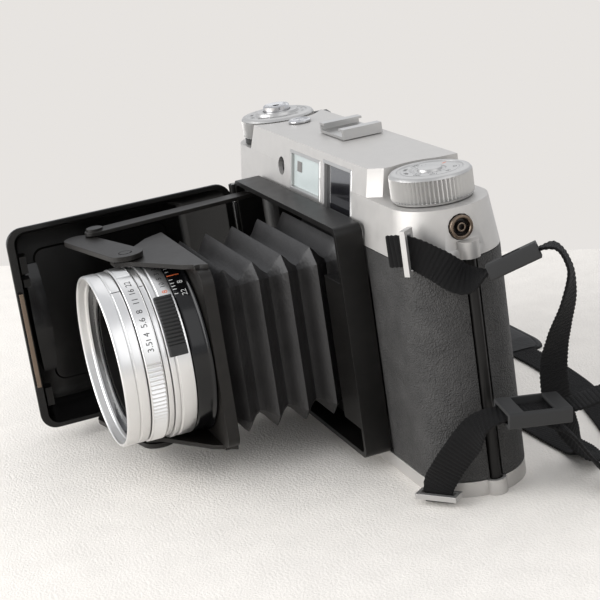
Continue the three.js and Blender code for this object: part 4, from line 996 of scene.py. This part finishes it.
@dataclass
class LensUnit:
    """The rings, the figures, the focusing tab and the glass on the lens axis."""

    centre: Point = (-2.0, 0.0, 44.0)
    inner: float = 22.3
    scale_radius: float = 30.5
    aperture_radius: float = 30.0
    rim: float = 29.5
    stops: Sequence[str] = ("3.5", "4", "5.6", "8", "11", "16", "22")

    def turned(self, name: str, profile: Profile, finish: Finish, *nodes: str, ease: float = 0.3,
               segments: int = 180, shown_too: bool = False,
               ripple: Optional[Ripple] = None) -> bpy.types.Object:
        """Turn a profile on the lens axis and put it in place.

        Args:
            name: The piece's name.
            profile: Rows of (radius, depth), in order.
            finish: The finish.
            nodes: The nodes it belongs to.
            ease: How far from a corner its rounding starts.
            segments: How many stretches the circle has.
            shown_too: Whether the nodes stay in sight.
            ripple: Gives the radius to add, for teeth.

        Returns:
            The piece.
        """
        shape = eased(profile, ease)
        if ripple is not None:
            shape = with_rows(shape, 0.6)
        piece = lathe(name, shape, self.centre, Axis.Y, finish, segments, ripple=ripple)
        settle(piece, *nodes, shown_too=shown_too)
        return piece

    def build(self) -> None:
        """Make the unit from the board forwards."""
        inner, rim = self.inner, self.rim
        self.turned("scale_ring", [(inner, -72.9), (30.2, -72.9), (30.5, -72.4), (30.5, -67.6),
                                   (31.2, -66.9), (31.2, -66.35), (inner, -66.35)],
                    GLOSS_BLACK, "depth_scale_ring")
        self.turned("focusing_ring", [(inner, -80.6), (30.5, -80.6), (30.5, -78.9), (30.1, -78.6),
                                      (30.1, -78.2), (30.5, -77.9), (30.5, -73.2), (inner, -73.2)],
                    BRIGHT_SILVER, "focus_ring", ease=0.2)
        self.turned("index_flange", [(22.05, -82.65), (29.6, -82.65), (29.6, -80.85),
                                     (22.05, -80.85)], BRIGHT_SILVER, "front_ring", shown_too=True)
        self.aperture()
        self.turned("rim_ring", [
            (inner, -88.9), (29.3, -88.9), (29.6, -89.3), (29.6, -91.9), (29.35, -92.1),
            (29.35, -92.5), (29.7, -92.7), (29.7, -96.4), (rim - 0.1, -97.0), (28.6, -97.0),
            (28.3, -96.4), (28.1, -94.2), (27.6, -94.0), (27.4, -92.6), (26.4, -91.9),
            (25.4, -91.6), (inner, -91.6)], BRIGHT_SILVER, "front_ring", ease=0.25)
        self.turned("thread_liner", [
            (27.35, -93.2), (27.2, -92.6), (26.3, -91.95), (25.3, -91.7), (22.25, -91.65),
            (22.0, -91.0), (21.7, -91.4), (22.0, -92.0), (25.5, -92.25), (26.4, -92.9),
            (26.8, -93.4)], GLOSS_BLACK, "front_ring", ease=0.15, shown_too=True)
        self.name_ring()
        self.glass()
        self.tab()
        self.figures()

    def aperture(self) -> None:
        """Make the aperture ring, with straight teeth all round but at its figures."""
        outer = self.aperture_radius
        cut = knurl(120, 0.6, -88.1, -83.4, outer - 0.2,
                    (math.radians(76.0), math.radians(369.0)))
        self.turned("stop_ring", [(self.inner, -88.6), (outer - 0.3, -88.6), (outer, -88.2),
                                  (outer, -83.3), (outer - 0.3, -82.9), (self.inner, -82.9)],
                    BRIGHT_SILVER, "aperture_ring", segments=960, ripple=cut, ease=0.15)

    def name_ring(self) -> None:
        """Make the black cone in front of the glass, with fine steps against stray light."""
        steps = [(24.4 - 0.98 * k, -90.5 + 0.86 * k) for k in range(9)]
        face = [p for r, y in steps for p in ((r, y), (r - 0.7, y + 0.12))]
        profile = [(25.2, -90.55)] + face + [(15.6, -82.0), (15.6, -78.4), (22.2, -84.2),
                                             (25.2, -90.2)]
        piece = lathe("light_trap_cone", np.array(profile), self.centre, Axis.Y, BLACK_METAL, 144)
        settle(piece, "lens_barrel")

    def glass(self) -> None:
        """Make both glasses and the retainer.

        A lens surface is a shallow bowl: y = edge + bulge * (1 - r^2 / R^2).
        """
        for name, node, edge, bulge, radius, back in (
                ("front_glass", "front_element", -82.0, -3.2, 15.3, -80.5),
                ("rear_glass", "rear_element", -62.4, 1.9, 12.9, -66.0)):
            r = np.linspace(0.0, radius, 24)
            arc = np.stack([r, edge + bulge * (1 - (r / radius) ** 2)], axis=1)
            profile = np.vstack([arc, [radius, back], [0.0, back]])
            piece = lathe(name, profile, self.centre, Axis.Y, DARK_GLASS, 96)
            settle(piece, node)
        ring = [(15.2, -82.2), (16.3, -82.8), (16.3, -83.6), (14.6, -82.9), (14.4, -82.3)]
        band = lathe("glass_retainer", eased(ring, 0.2), self.centre, Axis.Y, GLOSS_BLACK, 96)
        settle(band, "front_element", shown_too=True)

    def tab(self) -> None:
        """Make the ribbed focusing tab, whose radius swells once a rib.

        Over the ribbed angles the outer radius is 31.85 + 0.5 |sin(n a)|, and beyond them
        it is a plain block.
        """
        low, high, ribs = math.radians(10.5), math.radians(48.5), 14
        foot, plain = 30.75, 0.17
        angle = np.linspace(low, high, 320)
        share = (angle - low) / (high - low)
        wave = np.abs(np.sin(ribs * math.pi * (share - plain) / (1.0 - plain)))
        outer = np.where(share > plain, 31.85 + 0.5 * wave, 32.3)
        edge = np.minimum(1.0, np.minimum(share, 1 - share) / 0.012)
        outer = foot + (outer - foot) * (0.7 + 0.3 * edge)
        depths = (-80.2, -79.9, -74.5, -74.2)
        lifts = (0.25, 0.0, 0.0, 0.25)
        root = np.full_like(angle, foot)
        loops = [(root, depths[0]), *((outer - lift, y) for y, lift in zip(depths, lifts)),
                 (root, depths[-1])]
        rows = [np.stack([radius * np.cos(angle), np.full_like(angle, y),
                          radius * np.sin(angle)], 1) for radius, y in loops]
        grid = np.stack(rows) + np.asarray(self.centre)
        count = len(angle)
        faces = [list(quad) for quad in grid_faces(len(rows), count, True, False)]
        faces += [[row * count + end for row in range(len(rows))] for end in (0, count - 1)]
        settle(new_piece("ribbed_tab", grid.reshape(-1, 3), faces, BLACK_PLASTIC), "focus_tab")

    def figures(self) -> None:
        """Mark the rings with stops, distances and depth marks."""
        radius = self.aperture_radius + 0.02
        stops = [round_lens(glyphs(text, 3.0), self.centre, radius, 19.5 + 7.9 * k, -85.6)
                 for k, text in enumerate(self.stops)]
        stops.append(round_lens(bar(0.3, 1.6), self.centre, radius, 23.9, -85.6))
        self.mark("stop_figures", stops, INK_BLACK, "aperture_ring")
        index = [round_lens(bar(0.35, 3.2), self.centre, self.rim + 0.12, 63.0, -90.6),
                 round_lens(bar(0.3, 1.2), self.centre, 29.62, 63.0, -81.8)]
        self.mark("stop_index", index, INK_BLACK, "front_ring")
        radius = self.scale_radius + 0.02
        metres = [round_lens(glyphs(text, 2.5), self.centre, radius, angle, -75.4)
                  for text, angle in (("10", 58.0), ("5", 64.0), ("3", 69.0), ("2", 75.0))]
        self.mark("distance_figures", metres, INK_BLACK, "focus_ring")
        feet = [round_lens(glyphs("8", 2.6), self.centre, radius, 52.5, -75.4)]
        self.mark("distance_figures_orange", feet, INK_ORANGE, "focus_ring")
        depth = [round_lens(glyphs(text, 2.6), self.centre, radius, angle, -69.3)
                 for text, angle in (("22", 49.0), ("8", 57.5), ("8", 72.0), ("22", 81.0))]
        depth += [round_lens(bar(0.28, 1.3), self.centre, radius, angle, -72.0)
                  for angle in (49.0, 52.5, 55.0, 57.5, 60.5, 68.5, 72.0, 75.0, 78.0, 81.0)]
        self.mark("depth_figures", depth, INK_WHITE, "depth_scale_ring")
        orange = [round_lens(bar(0.5, 4.2), self.centre, radius, 64.5, -70.6)]
        self.mark("depth_index", orange, INK_ORANGE, "depth_scale_ring")

    def mark(self, name: str, parts: Sequence[FlatMark], ink: Finish, node: str) -> None:
        """Join marks into one piece on a ring."""
        piece = new_piece(name, *gather(parts), ink, closed=False)
        settle(piece, node, shown_too=True)


# ---- Bellows ----


@dataclass
class Bellows:
    """The pleated leather between the board and the body."""

    centre_x: float = -2.0
    centre_z: float = 44.0
    front_y: float = -61.7
    back_y: float = 8.8
    pleats: int = 7
    depth: float = 5.5
    wall: float = 0.8
    rows_a_fold: int = 8
    columns_a_side: int = 12

    def outline(self, w: np.ndarray, h: np.ndarray, chamfer: np.ndarray) -> np.ndarray:
        """Return the eight-cornered outline of each row, its sides split evenly.

        Args:
            w: Half the width of each row.
            h: Half the height of each row.
            chamfer: How much each row's corners are cut by.

        Returns:
            Points of (row, column, x and z).
        """
        c = chamfer
        corners = np.stack([np.stack(p, 1) for p in (
            (w, -h + c), (w, h - c), (w - c, h), (-w + c, h),
            (-w, h - c), (-w, -h + c), (-w + c, -h), (w - c, -h))], axis=1)
        following = np.roll(corners, -1, axis=1)
        t = np.linspace(0.0, 1.0, self.columns_a_side, endpoint=False)[None, None, :, None]
        return (corners[:, :, None] * (1 - t) + following[:, :, None] * t).reshape(len(w), -1, 2)

    def sheet(self, inset: float) -> np.ndarray:
        """Return one side of the leather as a grid.

        Along the axis a wave goes 0, 1, 0 once a pleat: a triangle wave w, softened at its
        turns as w - 0.045 sin(2 pi w). The half sizes grow from front to back and lose the
        pleat's depth in its valleys, and each panel sags a little between its folds.

        Args:
            inset: How far the side lies inside the outer one.

        Returns:
            Points of (row, column, xyz).
        """
        rows = 2 * self.pleats * self.rows_a_fold + 1
        share = np.linspace(0.0, 1.0, rows)
        turn = share * self.pleats
        wave = 1.0 - np.abs(2.0 * (turn - np.floor(turn)) - 1.0)
        soft = np.clip(wave - 0.045 * np.sin(TAU * wave), 0.0, 1.0)
        width = 29.5 + 4.0 * share - self.depth * (1.0 - soft) - inset
        height = 28.5 + 2.5 * share - self.depth * (1.0 - soft) - inset
        flat = self.outline(width, height, 1.2 + 3.8 * soft)
        y = self.front_y + (self.back_y - self.front_y) * share
        grid = np.empty((*flat.shape[:2], 3))
        grid[..., 0], grid[..., 2] = self.centre_x + flat[..., 0], self.centre_z + flat[..., 1]
        grid[..., 1] = y[:, None]
        sag = 0.35 * np.sin(math.pi * wave)[:, None]
        away = flat / np.linalg.norm(flat, axis=2, keepdims=True)
        grid[..., 0] -= sag * away[..., 0]
        grid[..., 2] -= sag * away[..., 1]
        return grid

    def build(self) -> None:
        """Skin the outside and the inside, ride the piece on its body and give it its own mesh."""
        grid = np.concatenate([self.sheet(0.0), self.sheet(self.wall)[::-1]])
        faces = grid_faces(grid.shape[0], grid.shape[1], True, True)
        piece = new_piece("pleated_leather", grid.reshape(-1, 3), faces, BELLOWS_LEATHER,
                          angle=28.0)
        settle(piece, "bellows")
        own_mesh(piece)


# ---- Dials ----


@dataclass
class Dials:
    """The knurled dials, the release, the counter and the flash socket."""

    iso: Point = (69.5, 0.5, 0.0)
    shutter: Point = (-69.5, 0.5, 0.0)
    counter: Point = (-46.0, 1.0, 0.0)
    socket: Point = (0.0, 0.5, 86.5)

    def build(self) -> None:
        """Make every dial."""
        self.iso_dial()
        self.shutter_dial()
        self.button()
        self.counter_dial()
        self.flash_socket()

    def knurled(self, name: str, node: str, profile: Profile, centre: Point, teeth: int,
                low: float, high: float, edge: float) -> None:
        """Turn a dial with straight teeth on its wall.

        Args:
            name: The piece's name.
            node: The node it belongs to.
            profile: Rows of (radius, height), in order.
            centre: A point on the dial's axis.
            teeth: How many teeth it has.
            low: The height at which they start.
            high: The height at which they end.
            edge: The radius beyond which the wall is cut.
        """
        shape = with_rows(eased(profile, 0.25), 1.1)
        piece = lathe(name, shape, centre, Axis.Z, DIAL_SILVER, teeth * 6,
                      ripple=knurl(teeth, 0.75, low, high, edge))
        settle(piece, node)

    def iso_dial(self) -> None:
        """Make the film speed dial with its ring of figures."""
        low, top = 92.8, 101.8
        self.knurled("film_speed_dial", "iso_dial", [
            (0.01, low - 6), (3.0, low - 6), (3.0, low), (12.4, low), (12.6, low + 0.7),
            (13.0, low + 1.0), (13.0, top - 1.2), (12.3, top - 0.3), (11.2, top), (10.4, top),
            (10.2, top - 0.4), (9.2, top - 0.4), (9.0, top - 0.15), (5.2, top - 0.15),
            (4.9, top - 0.5), (3.9, top - 0.5), (3.7, top + 0.4), (0.01, top + 0.55),
        ], self.iso, 60, low + 0.95, top - 1.15, 12.7)
        centre = (self.iso[0], self.iso[1], top - 0.13)
        numbers = ("25", "50", "100", "200", "400", "800", "1600")
        marks = [on_dial(glyphs(text, 1.7), centre, 7.7, 60.0 - 38.0 * k)
                 for k, text in enumerate(numbers)]
        marks += [on_dial(bar(0.14, 0.9), centre, 6.0, 22.0 - 12.67 * k) for k in range(18)]
        dots = new_piece("film_speed_figures", *gather(marks), INK_BLACK, closed=False)
        settle(dots, "iso_dial", shown_too=True)
        index = new_piece("film_speed_index", *on_dial(bar(0.5, 1.8), centre, 7.4, 118.0),
                          INK_ORANGE, closed=False)
        settle(index, "iso_dial", shown_too=True)

    def shutter_dial(self) -> None:
        """Make the shutter speed dial."""
        low, top = 95.1, 102.6
        self.knurled("speed_dial", "shutter_dial", [
            (5.3, low), (13.6, low), (14.0, low + 0.4), (14.0, top - 1.2), (13.3, top - 0.3),
            (12.3, top), (11.4, top), (11.2, top - 0.3), (8.4, top - 0.3), (7.9, top + 1.0),
            (5.3, top + 1.0),
        ], self.shutter, 66, low + 0.35, top - 1.15, 13.7)
        centre = (self.shutter[0], self.shutter[1], top - 0.28)
        speeds = ("1", "2", "4", "8", "15", "30", "60", "125", "250", "500")
        marks = [on_dial(glyphs(text, 1.7), centre, 9.9, 150.0 - 30.0 * k)
                 for k, text in enumerate(speeds)]
        piece = new_piece("speed_figures", *gather(marks), INK_BLACK, closed=False)
        settle(piece, "shutter_dial", shown_too=True)

    def button(self) -> None:
        """Make the release, dished for a finger, with a threaded hole."""
        top = 105.2
        r = np.linspace(1.3, 4.2, 12)
        dish = np.stack([r, top + 0.1 + 0.5 * ((r - 1.3) / 2.9) ** 2], axis=1)
        profile = np.vstack([[0.01, 89.1], [5.0, 89.1], [5.0, top], [4.6, top + 0.5], dish[::-1],
                             [1.3, top - 1.6], [0.01, top - 1.6]])
        piece = lathe("release_button", profile, self.shutter, Axis.Z, CHROME, 96)
        settle(piece, "shutter_button")

    def counter_dial(self) -> None:
        """Make the counter's rimmed window."""
        low = 101.8
        rim = [(0.01, low), (4.2, low), (4.2, low + 0.7), (3.8, low + 1.0), (3.2, low + 1.0),
               (2.9, low + 0.6), (0.01, low + 0.6)]
        piece = lathe("counter_rim", eased(rim, 0.12), self.counter, Axis.Z, CHROME, 72)
        settle(piece, "frame_counter")
        centre = (self.counter[0], self.counter[1], low + 0.62)
        figure = new_piece("counter_figure", *on_dial(glyphs("1", 2.6), centre, 0.0, 0.0),
                           INK_BLACK, closed=False)
        settle(figure, "frame_counter", shown_too=True)

    def flash_socket(self) -> None:
        """Make the bronze socket: an outer rim, a black ring and a pin in a small tube."""
        shapes = (
            ("socket_rim", [(2.6, 84.0), (3.8, 84.0), (3.8, 88.1), (3.5, 88.4), (2.9, 88.4),
                            (2.6, 88.0)], BRONZE),
            ("socket_throat", [(0.01, 84.0), (2.6, 84.0), (2.6, 86.6), (1.5, 86.6), (1.3, 86.4),
                               (0.01, 86.4)], GLOSS_BLACK),
            ("socket_tube", [(0.75, 85.9), (1.45, 85.9), (1.45, 88.0), (1.2, 88.15), (0.9, 88.1),
                             (0.75, 87.6)], BRONZE))
        for name, profile, finish in shapes:
            piece = lathe(name, eased(profile, 0.1), self.socket, Axis.X, finish, 64)
            settle(piece, "flash_socket")


# ---- Front door ----


@dataclass
class FrontDoor:
    """The pressed door: a rounded flange, a dish with drawn-in walls, a barrel and a leaf spring.

    Distances run from the hinge: s along the open door, t inwards from its hinge line, z up.
    Each ring is (low s, high s, low z, high z, corner radius, t).
    """

    hinge: tuple[float, float] = (-54.0, -26.0)
    corner_steps: int = 9
    rings: Sequence[tuple[float, float, float, float, float, float]] = (
        (1.2, 87.0, 6.5, 83.5, 6.0, -1.55), (1.2, 87.0, 6.5, 83.5, 6.0, -0.55),
        (1.45, 86.75, 6.75, 83.25, 5.8, -0.3), (3.8, 84.2, 8.1, 81.9, 4.5, -0.3),
        (4.1, 83.9, 8.4, 81.6, 4.3, -0.7), (16.0, 82.6, 11.5, 78.5, 5.0, -14.5),
        (18.0, 81.6, 12.5, 77.5, 5.0, -16.3), (19.5, 80.3, 13.8, 76.2, 4.2, -16.8),
        (24.0, 76.0, 19.0, 71.0, 4.0, -16.8), (24.6, 75.4, 19.6, 70.4, 3.6, -16.1),
        (50.0, 50.0, 45.0, 45.0, 0.0, -16.1), (50.0, 50.0, 45.0, 45.0, 0.0, -18.2),
        (19.0, 81.5, 13.0, 77.0, 5.0, -18.2), (17.0, 83.0, 11.6, 78.4, 6.0, -17.2),
        (2.9, 85.1, 7.4, 82.6, 5.0, -2.2), (2.6, 85.4, 7.1, 82.9, 5.2, -1.8),
        (1.45, 86.75, 6.75, 83.25, 5.8, -1.8))

    def place(self, s: np.ndarray, t: np.ndarray, z: np.ndarray) -> np.ndarray:
        """Turn door distances into points."""
        return np.stack(np.broadcast_arrays(self.hinge[0] + t, self.hinge[1] - s, z), axis=-1)

    def build(self) -> None:
        """Make the shell, its barrel, the leaf and the latch housing."""
        self.shell()
        self.barrel()
        self.leaf()
        self.catch_blocks()

    def shell(self) -> None:
        """Skin the rings: each is a rounded oblong whose corners are quarter circles."""
        s0, s1, z0, z1, r, t = (column[:, None] for column in np.array(self.rings).T)
        turn = np.linspace(0.0, 0.5 * math.pi, self.corner_steps)[None, :]
        cos, sin = np.cos(turn), np.sin(turn)
        s = np.hstack([s1 - r + r * cos, s0 + r - r * sin, s0 + r - r * cos, s1 - r + r * sin])
        z = np.hstack([z1 - r + r * sin, z1 - r + r * cos, z0 + r - r * sin, z0 + r - r * cos])
        grid = self.place(s, t, z)
        faces = grid_faces(grid.shape[0], grid.shape[1], True, True)
        piece = new_piece("pressed_door", grid.reshape(-1, 3), faces, DOOR_LACQUER, angle=30.0)
        settle(piece, "front_door")

    def barrel(self) -> None:
        """Turn the hinge barrel."""
        profile = eased([(0.01, 14.2), (1.7, 14.2), (1.7, 75.8), (0.01, 75.8)], 0.3)
        piece = lathe("door_barrel", profile, (*self.hinge, 0.0), Axis.Z, DOOR_LACQUER, 32)
        settle(piece, "front_door", shown_too=True)

    def leaf(self) -> None:
        """Bow a thin leaf spring inside the far end: t = rest + rise * sin(pi * share)."""
        rows = 40
        share = np.linspace(0.0, 1.0, rows)[:, None]
        rise = 3.4 * np.sin(math.pi * share)
        width = 2.4 + 0.9 * np.sin(math.pi * share)
        s = 77.5 + width * np.array([[-1.0, 1.0, 1.0, -1.0]])
        t = -16.7 + rise + np.array([[0.0, 0.0, 0.6, 0.6]])
        grid = self.place(s, t, 24.0 + 42.0 * share)
        faces = [list(quad) for quad in grid_faces(rows, 4, False, True)]
        faces += [[0, 1, 2, 3], [4 * rows - k for k in (1, 2, 3, 4)]]
        piece = new_piece("door_leaf_spring", grid.reshape(-1, 3), faces, GLOSS_BLACK)
        settle(piece, "front_door", shown_too=True)

    def catch_blocks(self) -> None:
        """Set three small blocks that guide the latch along the free edge."""
        s = np.array([80.5, 83.6, 83.6, 80.5, 80.8, 83.3, 83.3, 80.8])
        t = np.repeat([-6.0, -1.4], 4)
        for name, low, high in (("upper", 66.0, 73.0), ("middle", 61.0, 64.5),
                                ("lower", 15.0, 22.5)):
            z = np.array([low, low, high, high, low + 0.3, low + 0.3, high - 0.3, high - 0.3])
            piece = new_piece("latch_guide_" + name, self.place(s, t, z), BLOCK_FACES, BLACK_METAL)
            settle(piece, "front_door", shown_too=True)


# ---- Body, frame and links ----


@dataclass
class Housing:
    """The cast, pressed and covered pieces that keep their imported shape."""

    edges: dict[str, tuple[Finish, float]] = field(default_factory=lambda: {
        "top_cover": (SATIN_SILVER, 0.55), "bottom_cover": (SATIN_SILVER, 0.4),
        "hot_shoe": (DIAL_SILVER, 0.14), "strap_lug_upper": (DIAL_SILVER, 0.25),
        "strap_lug_lower": (DIAL_SILVER, 0.25), "grip_near": (GRIP, 0.2), "grip_far": (GRIP, 0.2),
        "back_door": (GRIP, 0.25), "front_frame": (BLACK_METAL, 0.25),
        "door_latch_bar": (BRONZE, 0.15),
        "strut_upper": (DARK_SHEET, 0.2), "strut_lower": (DARK_SHEET, 0.2),
        "link_upper": (DARK_SHEET, 0.2), "link_lower": (DARK_SHEET, 0.2),
        "lens_board": (DARK_SHEET, 0.25), "advance_lever": (BLACK_METAL, 0.3),
        "eyepiece": (BLACK_PLASTIC, 0.4), "battery_lid": (BLACK_METAL, 0.2),
        "tripod_socket": (STEEL, 0.2), "rangefinder_window": (DARK_GLASS, 0.1),
        "eyepiece_lens": (DARK_GLASS, 0.15), "back_lock_bar": (BLACK_METAL, 0.2),
        "supply_spool": (BLACK_PLASTIC, 0.15), "takeup_spool": (BLACK_PLASTIC, 0.15),
        "pressure_plate": (BLACK_METAL, 0.15), "film_gate": (BLACK_METAL, 0.1),
        "body_casting": (BLACK_METAL, 0.15)})
    inner: dict[str, Finish] = field(default_factory=lambda: {
        "battery": STEEL, "back_hinge_pin": STEEL, "door_hinge_pin": STEEL,
        "film_roller_near": STEEL, "film_roller_far": STEEL, "plate_spring": STEEL,
        "finder_housing": BLACK_PLASTIC, "beamsplitter_prism": DARK_GLASS,
        "shutter_housing": BLACK_METAL, "shutter_blades": BLACK_METAL})

    front_z: tuple[float, float, float] = (77.0, 92.3, 101.5)
    front_y: tuple[float, float, float] = (-16.5, -14.45, -12.6)

    def front(self, z: np.ndarray) -> np.ndarray:
        """Return where the cover's front lies at a height: a broken line through its edges."""
        return np.interp(z, self.front_z, self.front_y)

    def window_rows(self, node: str, loops: Profile) -> np.ndarray:
        """Return rectangles round a window, each grown by g and lifted by h off the cover.

        A corner of a loop lies at y = front(z) - h.

        Args:
            node: The window's node.
            loops: Rows of (g, h).

        Returns:
            Points of (loop, corner, xyz).
        """
        low, high = (np.array(corner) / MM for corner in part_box(node))
        grow, lift = (column[:, None] for column in np.array(loops).T)
        x = np.hstack([low[0] - grow, high[0] + grow, high[0] + grow, low[0] - grow])
        z = np.hstack([low[2] - grow, low[2] - grow, high[2] + grow, high[2] + grow])
        y = self.front(z) - lift
        return np.stack([x, y, z], axis=-1)

    def window(self, node: str, finish: Finish) -> None:
        """Set a pane and its silver lip flush with the slanting front of the cover.

        Args:
            node: The window's node.
            finish: The pane's finish.
        """
        loops = ((-0.1, -1.9), (-0.1, 0.1), (0.05, 0.28), (0.75, 0.28), (1.0, 0.1), (1.05, -0.5),
                 (0.35, -0.5), (0.35, -1.9))
        lip = new_piece(node + "_lip", self.window_rows(node, loops).reshape(-1, 3),
                        grid_faces(len(loops), 4, True, True), DIAL_SILVER)
        settle(lip, "top_cover", shown_too=True)
        pane = self.window_rows(node, ((-0.12, -1.0), (-0.12, -1.8))).reshape(-1, 3)
        settle(new_piece(node + "_pane", pane, BLOCK_FACES, finish), node)

    def frame_mask(self) -> None:
        """Lay the small dark field of the rangefinder on the frosted pane."""
        x = np.array([-14.0, -9.6, -9.6, -14.0])
        z = np.array([91.0, 91.0, 94.6, 94.6])
        y = self.front(z) + 0.97
        mask = new_piece("finder_field", np.stack([x, y, z], axis=1), [[0, 1, 2, 3]], FIELD_GREY,
                         closed=False)
        settle(mask, "frameline_window", shown_too=True)

    def build(self) -> None:
        """Refine the pieces in sight and dress the ones inside."""
        self.window("view_window", DARK_GLASS)
        self.window("frameline_window", FROSTED)
        self.frame_mask()
        for node, (finish, bevel) in self.edges.items():
            refined(node, finish, bevel)
        for node, finish in self.inner.items():
            piece = frame["nodes"][node]
            piece.data.materials.clear()
            piece.data.materials.append(finish.material())
            smooth(piece)
            LOG.info("%s dressed", node)


def main() -> None:
    """Build the studio, the strap and then every sub-assembly."""
    logging.basicConfig(level=logging.INFO, format="%(message)s")
    Studio().build()
    NeckStrap().build()
    Housing().build()
    FrontDoor().build()
    LensUnit().build()
    Bellows().build()
    Dials().build()


if __name__ == "__main__":
    main()
